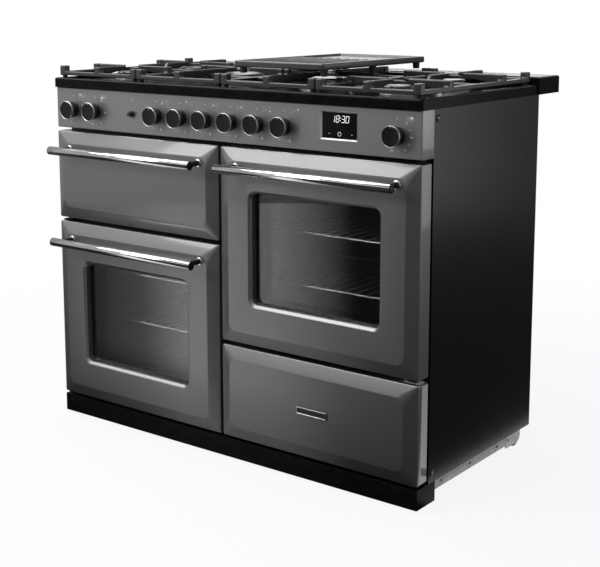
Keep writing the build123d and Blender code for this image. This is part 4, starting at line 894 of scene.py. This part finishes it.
def screw_heads(name, spots, turn, radius):
    """Pan-head screws with a cross recess, at places on a flat face."""
    bm = bmesh.new()
    shares = ((1, 0), (1, 0.3), (0.85, 0.55), (0.5, 0.7), (0.1, 0.72))
    dome = [(across * radius, up * radius) for across, up in shares]
    for spot in spots:
        lathe(bm, dome, spot, turn, 24)
    made = piece(name, bm, "cooker_body", ["zinc"])
    cutter = bmesh.new()
    for spot in spots:
        for wide, high in ((1.3, 0.28), (0.28, 1.3)):
            size = Matrix.Diagonal((wide * radius, high * radius, 0.7 * radius, 1))
            lift = Matrix.Translation((0, 0, 0.75 * radius))
            place = Matrix.Translation(spot) @ turn @ lift @ size
            bmesh.ops.create_cube(cutter, size=1.0, matrix=place)
    carve(made, cutter)


def fixings():
    """Screws in cup washers on the side panels, and screws round the rear panel."""
    low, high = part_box("side_panels")
    heights = (low.z + SIDE_SCREW_UP, high.z - SIDE_SCREW_UP)
    for name, x, turn in (("left", low.x, TO_RIGHT.inverted()), ("right", high.x, TO_RIGHT)):
        spots = [Vector((x, low.y + SIDE_SCREW_IN, z)) for z in heights]
        cups = bmesh.new()
        for spot in spots:
            lathe(cups, SCREW_CUP, spot, turn, 32, hollow=True)
        piece(f"{name}_side_screw_cups", cups, "cooker_body", ["black_plastic"])
        screw_heads(f"{name}_side_screws", spots, turn, SIDE_SCREW)
    low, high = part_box("rear_panel")
    left, right = low.x + REAR_SCREW_IN, high.x - REAR_SCREW_IN
    heights = (low.z + REAR_SCREW_UP, high.z - REAR_SCREW_UP)
    spots = []
    for i in range(5):
        x = left + (right - left) * i / 4
        spots += [Vector((x, high.y, z)) for z in heights]
    for i in range(1, 4):
        z = low.z + (high.z - low.z) * i / 4
        spots += [Vector((x, high.y, z)) for x in (left, right)]
    screw_heads("rear_screws", spots, TO_COOK.inverted(), REAR_SCREW)


def dress_nodes():
    """Materials and softened edges for the CAD nodes that show as they are."""
    plain = {
        "side_paint": ["side_panels"],
        "black_enamel": ["hob_top", "rear_vent"],
        "plinth_paint": ["plinth", "hinge_brackets"],
        "oven_enamel": ["left_oven_cavity", "right_oven_cavity", "grill_cavity", "fan_baffles",
                        "grill_pan", "grill_door_liner", "left_oven_door_liner",
                        "right_oven_door_liner", "drawer_box"],
        "zinc": ["base_frame", "rear_panel", "roller_brackets", "drawer_rails", "fan_motors",
                 "levelling_feet", "gas_manifold"],
        "oven_wire": ["shelf_ladders", "heating_elements"],
        "shelf_wire": ["oven_shelves"],
        "burner_alloy": ["burner_bases", "burner_crowns", "left_oven_fan", "right_oven_fan"],
        "cap_enamel": ["burner_caps"],
        "display_glass": ["clock_module"],
        "black_plastic": ["push_button", "terminal_box", "left_roller", "right_roller",
                          "taps_and_switches"],
        "door_glass": ["left_oven_door_glass", "right_oven_door_glass"],
        "seal_rubber": ["door_seals"],
    }
    softened = {"plinth": 0.8 * MM, "push_button": 0.6 * MM, "terminal_box": 1.5 * MM,
                "base_frame": 0.5 * MM}
    for look_name, names in plain.items():
        for name in names:
            dress(name, look_name, softened.get(name, 0.0))
    for i in range(1, 5):
        cast(f"pan_support_{i}", "cast_iron")


def area_light(name, place, aim, size, power):
    """Soft rectangular lamp that the camera doesn't see."""
    light = bpy.data.lights.new(name, "AREA")
    light.shape = "RECTANGLE"
    light.size, light.size_y = size
    light.energy = power
    lamp = bpy.data.objects.new(name, light)
    lamp.location = place
    lamp.rotation_mode = "QUATERNION"
    lamp.rotation_quaternion = (Vector(aim) - Vector(place)).to_track_quat("-Z", "Y")
    lamp.visible_camera = False
    scene.collection.objects.link(lamp)
    return lamp


def oven_lamps():
    """Small strip lamp close to the front bar of each oven shelf."""
    for x, height in SHELF_FRONTS:
        aim = Vector((x + SHELF_LAMP_SHIFT, SHELF_FRONT_Y, height))
        place = aim + Vector(SHELF_LAMP_AWAY)
        lamp = area_light("shelf_lamp", place, aim, SHELF_LAMP_SIZE, SHELF_LAMP_POWER)
        lamp.visible_transmission = lamp.visible_glossy = False


def studio():
    """White surroundings for the camera and for reflections, softer light for the rest."""
    world = bpy.data.worlds.new("studio")
    scene.world = world
    world.use_nodes = True
    tree = world.node_tree
    tree.nodes.clear()
    out = tree.nodes.new("ShaderNodeOutputWorld")
    mix = tree.nodes.new("ShaderNodeMixShader")
    fill = tree.nodes.new("ShaderNodeBackground")
    fill.inputs["Strength"].default_value = WORLD_FILL
    white = tree.nodes.new("ShaderNodeBackground")
    for background in (fill, white):
        background.inputs["Color"].default_value = (1, 1, 1, 1)
    tree.links.new(seen_rays(tree), mix.inputs["Fac"])
    tree.links.new(fill.outputs[0], mix.inputs[1])
    tree.links.new(white.outputs[0], mix.inputs[2])
    tree.links.new(mix.outputs[0], out.inputs["Surface"])


def seen_rays(tree):
    """Socket that is 1 for camera, glossy and transmission rays."""
    path = tree.nodes.new("ShaderNodeLightPath")
    total = path.outputs["Is Camera Ray"]
    for name in ("Is Glossy Ray", "Is Transmission Ray"):
        most = tree.nodes.new("ShaderNodeMath")
        most.operation = "MAXIMUM"
        tree.links.new(total, most.inputs[0])
        tree.links.new(path.outputs[name], most.inputs[1])
        total = most.outputs[0]
    return total


def floor():
    """Pale floor that keeps the cooker's shadow and fades into the white surroundings."""
    bm = bmesh.new()
    bmesh.ops.create_circle(bm, cap_ends=True, segments=128, radius=FLOOR_RADIUS)
    mesh = bpy.data.meshes.new("floor")
    bm.to_mesh(mesh)
    bm.free()
    look = Look("floor_pale", Roughness=0.8, Specular_IOR_Level=0.1)
    tree = look.tone(look.noise(3), grey(0.93), grey(0.95)).tree
    white = look.node("ShaderNodeEmission", Color=(1, 1, 1, 1))
    mix = tree.nodes.new("ShaderNodeMixShader")
    distance = look.node("ShaderNodeVectorMath")
    distance.operation = "LENGTH"
    tree.links.new(look.place(), distance.inputs[0])
    span = {"From Min": 0.8, "From Max": 2.2, "To Min": 0.88, "To Max": 1.0}
    fade = look.node("ShaderNodeMapRange", **span)
    fade.interpolation_type = "SMOOTHSTEP"
    tree.links.new(distance.outputs["Value"], fade.inputs["Value"])
    seen = tree.nodes.new("ShaderNodeMath")
    seen.operation = "MULTIPLY"
    tree.links.new(seen_rays(tree), seen.inputs[0])
    tree.links.new(fade.outputs["Result"], seen.inputs[1])
    tree.links.new(seen.outputs[0], mix.inputs["Fac"])
    tree.links.new(look.shader.outputs[0], mix.inputs[1])
    tree.links.new(white.outputs[0], mix.inputs[2])
    tree.links.new(mix.outputs[0], tree.nodes["Material Output"].inputs["Surface"])
    mesh.materials.append(look.material)
    ground = bpy.data.objects.new("floor", mesh)
    ground.location = (0, 0, -0.5 * MM)
    scene.collection.objects.link(ground)


def glow(look, target, socket, levels):
    """Drives one of a look's sockets with levels at places along another socket's span."""
    low, high = levels[0][0], levels[-1][0]
    share = look.node("ShaderNodeMapRange", **{"From Min": low, "From Max": high})
    look.tree.links.new(socket, share.inputs["Value"])
    ramp = look.node("ShaderNodeValToRGB")
    stops = ramp.color_ramp.elements
    while len(stops) < len(levels):
        stops.new(0.5)
    for stop, (place, level) in zip(stops, levels):
        stop.position = (place - low) / (high - low)
        stop.color = (level, level, level, 1)
    look.tree.links.new(share.outputs["Result"], ramp.inputs["Fac"])
    look.tree.links.new(ramp.outputs["Color"], look.shader.inputs[target])


def studio_card(name, mesh, look):
    """Card of the studio that shows only in reflections and through glass."""
    mesh.materials.append(look.material)
    card = bpy.data.objects.new(name, mesh)
    card.visible_camera = card.visible_shadow = card.visible_diffuse = False
    scene.collection.objects.link(card)


def level_card(name, x, y, z):
    """Mesh of a level rectangle."""
    mesh = bpy.data.meshes.new(name)
    corners = [(x[0], y[0], z), (x[1], y[0], z), (x[1], y[1], z), (x[0], y[1], z)]
    mesh.from_pydata(corners, [], [range(4)])
    return mesh


def card_look(name, strength=1.0):
    """Card that only gives light."""
    return Look(name, Roughness=1.0, Specular_IOR_Level=0.0, Base_Color=(0, 0, 0, 1),
                Emission_Color=(1, 1, 1, 1), Emission_Strength=strength)


def compass(look, post=(0, 0)):
    """Angle about an upright post in degrees, as a socket."""
    from_post = look.node("ShaderNodeVectorMath")
    from_post.operation = "SUBTRACT"
    from_post.inputs[1].default_value = (*post, 0)
    look.tree.links.new(look.place(), from_post.inputs[0])
    parts = look.node("ShaderNodeSeparateXYZ")
    look.tree.links.new(from_post.outputs[0], parts.inputs[0])
    angle = look.node("ShaderNodeMath")
    angle.operation = "ARCTAN2"
    look.tree.links.new(parts.outputs["Y"], angle.inputs[0])
    look.tree.links.new(parts.outputs["X"], angle.inputs[1])
    degrees = look.node("ShaderNodeMath")
    degrees.operation = "DEGREES"
    look.tree.links.new(angle.outputs[0], degrees.inputs[0])
    return degrees.outputs[0]


def place_along(look, axis):
    """Place along an axis, as a socket."""
    parts = look.node("ShaderNodeSeparateXYZ")
    look.tree.links.new(look.place(), parts.inputs[0])
    return parts.outputs[axis]


def reflections():
    """Round wall, ground, ceiling and softbox of the studio, as the glossy surfaces see them."""
    bm = bmesh.new()
    loops = [[], []]
    for i in range(WALL_STEPS):
        angle = 2 * math.pi * i / WALL_STEPS - math.pi
        at = WALL_RADIUS * Vector((math.cos(angle), math.sin(angle), 0))
        tall = WALL_TALL if math.degrees(angle) < WALL_TALL_TO else WALL_LOW
        loops[0].append(bm.verts.new(at))
        loops[1].append(bm.verts.new(at + Vector((0, 0, tall))))
    bridge(bm, loops)
    wall = bpy.data.meshes.new("studio_wall")
    bm.to_mesh(wall)
    bm.free()
    look = card_look("studio_wall_look")
    glow(look, "Emission Color", compass(look), WALL_LEVELS)
    studio_card("studio_wall", wall, look)
    look = card_look("studio_ground_look")
    glow(look, "Emission Color", compass(look, GROUND_POST), GROUND_LEVELS)
    glow(look, "Emission Strength", place_along(look, "Y"), GROUND_FADE)
    near = GROUND_FADE[-1][0]
    front = level_card("studio_ground", GROUND_SPAN, (GROUND_FADE[0][0], near), CARD_LIFT)
    studio_card("studio_ground", front, look)
    for name, levels in (("studio_right", GROUND_RIGHT), ("studio_left", GROUND_LEFT)):
        look = card_look(f"{name}_look")
        glow(look, "Emission Color", place_along(look, "X"), levels)
        mesh = level_card(name, (levels[0][0], levels[-1][0]), (near, SIDE_GROUND_BACK), CARD_LIFT)
        studio_card(name, mesh, look)
    plain = (("studio_under", UNDER_SPAN, (near, UNDER_BACK), CARD_LIFT, GROUND_LEVELS[0][1]),
             ("studio_ceiling", CEILING_SPAN, CEILING_SPAN, CEILING, CEILING_LEVEL),
             ("studio_softbox", SOFTBOX_X, SOFTBOX_Y, SOFTBOX, SOFTBOX_LEVEL))
    for name, x, y, z, level in plain:
        studio_card(name, level_card(name, x, y, z), card_look(f"{name}_look", level))


def lights():
    """Studio cards, a wide lamp overhead and a key lamp at the front left."""
    reflections()
    area_light("overhead", *OVERHEAD)
    area_light("left_key", *LEFT_KEY)


def camera():
    """Camera that frames the cooker as the photograph does."""
    data = bpy.data.cameras.new("camera")
    data.sensor_width = SENSOR_WIDTH
    data.lens = FOCAL_PIXELS / IMAGE_WIDTH * data.sensor_width
    data.shift_y = CAMERA_SHIFT
    eye = bpy.data.objects.new("camera", data)
    yaw, pitch = math.radians(CAMERA_YAW), math.radians(CAMERA_PITCH)
    level = math.cos(pitch)
    ahead = Vector((-math.sin(yaw) * level, math.cos(yaw) * level, -math.sin(pitch)))
    eye.location = CAMERA_PLACE
    eye.rotation_mode = "QUATERNION"
    eye.rotation_quaternion = ahead.to_track_quat("-Z", "Y")
    scene.collection.objects.link(eye)
    scene.camera = eye


dress_nodes()
drop_hinge_slots(*pressed_front("grill_door_skin", "grill_door"))
oven_doors = ("left_oven_door", "right_oven_door")
for door in oven_doors:
    side_hinge_holes(*pressed_front(f"{door}_skin", door, window=True))
pressed_front("drawer_front", "drawer")
for door in oven_doors:
    frit_border(f"{door}_glass", door)
for door in ("grill_door", *oven_doors):
    handle(f"{door}_handle", door)
knob_names = [f"burner_knob_{i}" for i in range(1, 7)]
knob_names += ["grill_knob", "left_oven_knob", "right_oven_knob"]
knob_spots = {name: knob(name) for name in knob_names}
button_low, button_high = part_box("push_button")
button_spot = (button_low + button_high) / 2
button_spot.y = knob_spots["grill_knob"].y
folded_panel("control_panel", [*knob_spots.values(), button_spot])
panel_print(knob_spots)
clock_face()
griddle_plate()
badge_plate()
fixings()

studio()
floor()
lights()
oven_lamps()
camera()
scene.view_settings.view_transform = "Standard"
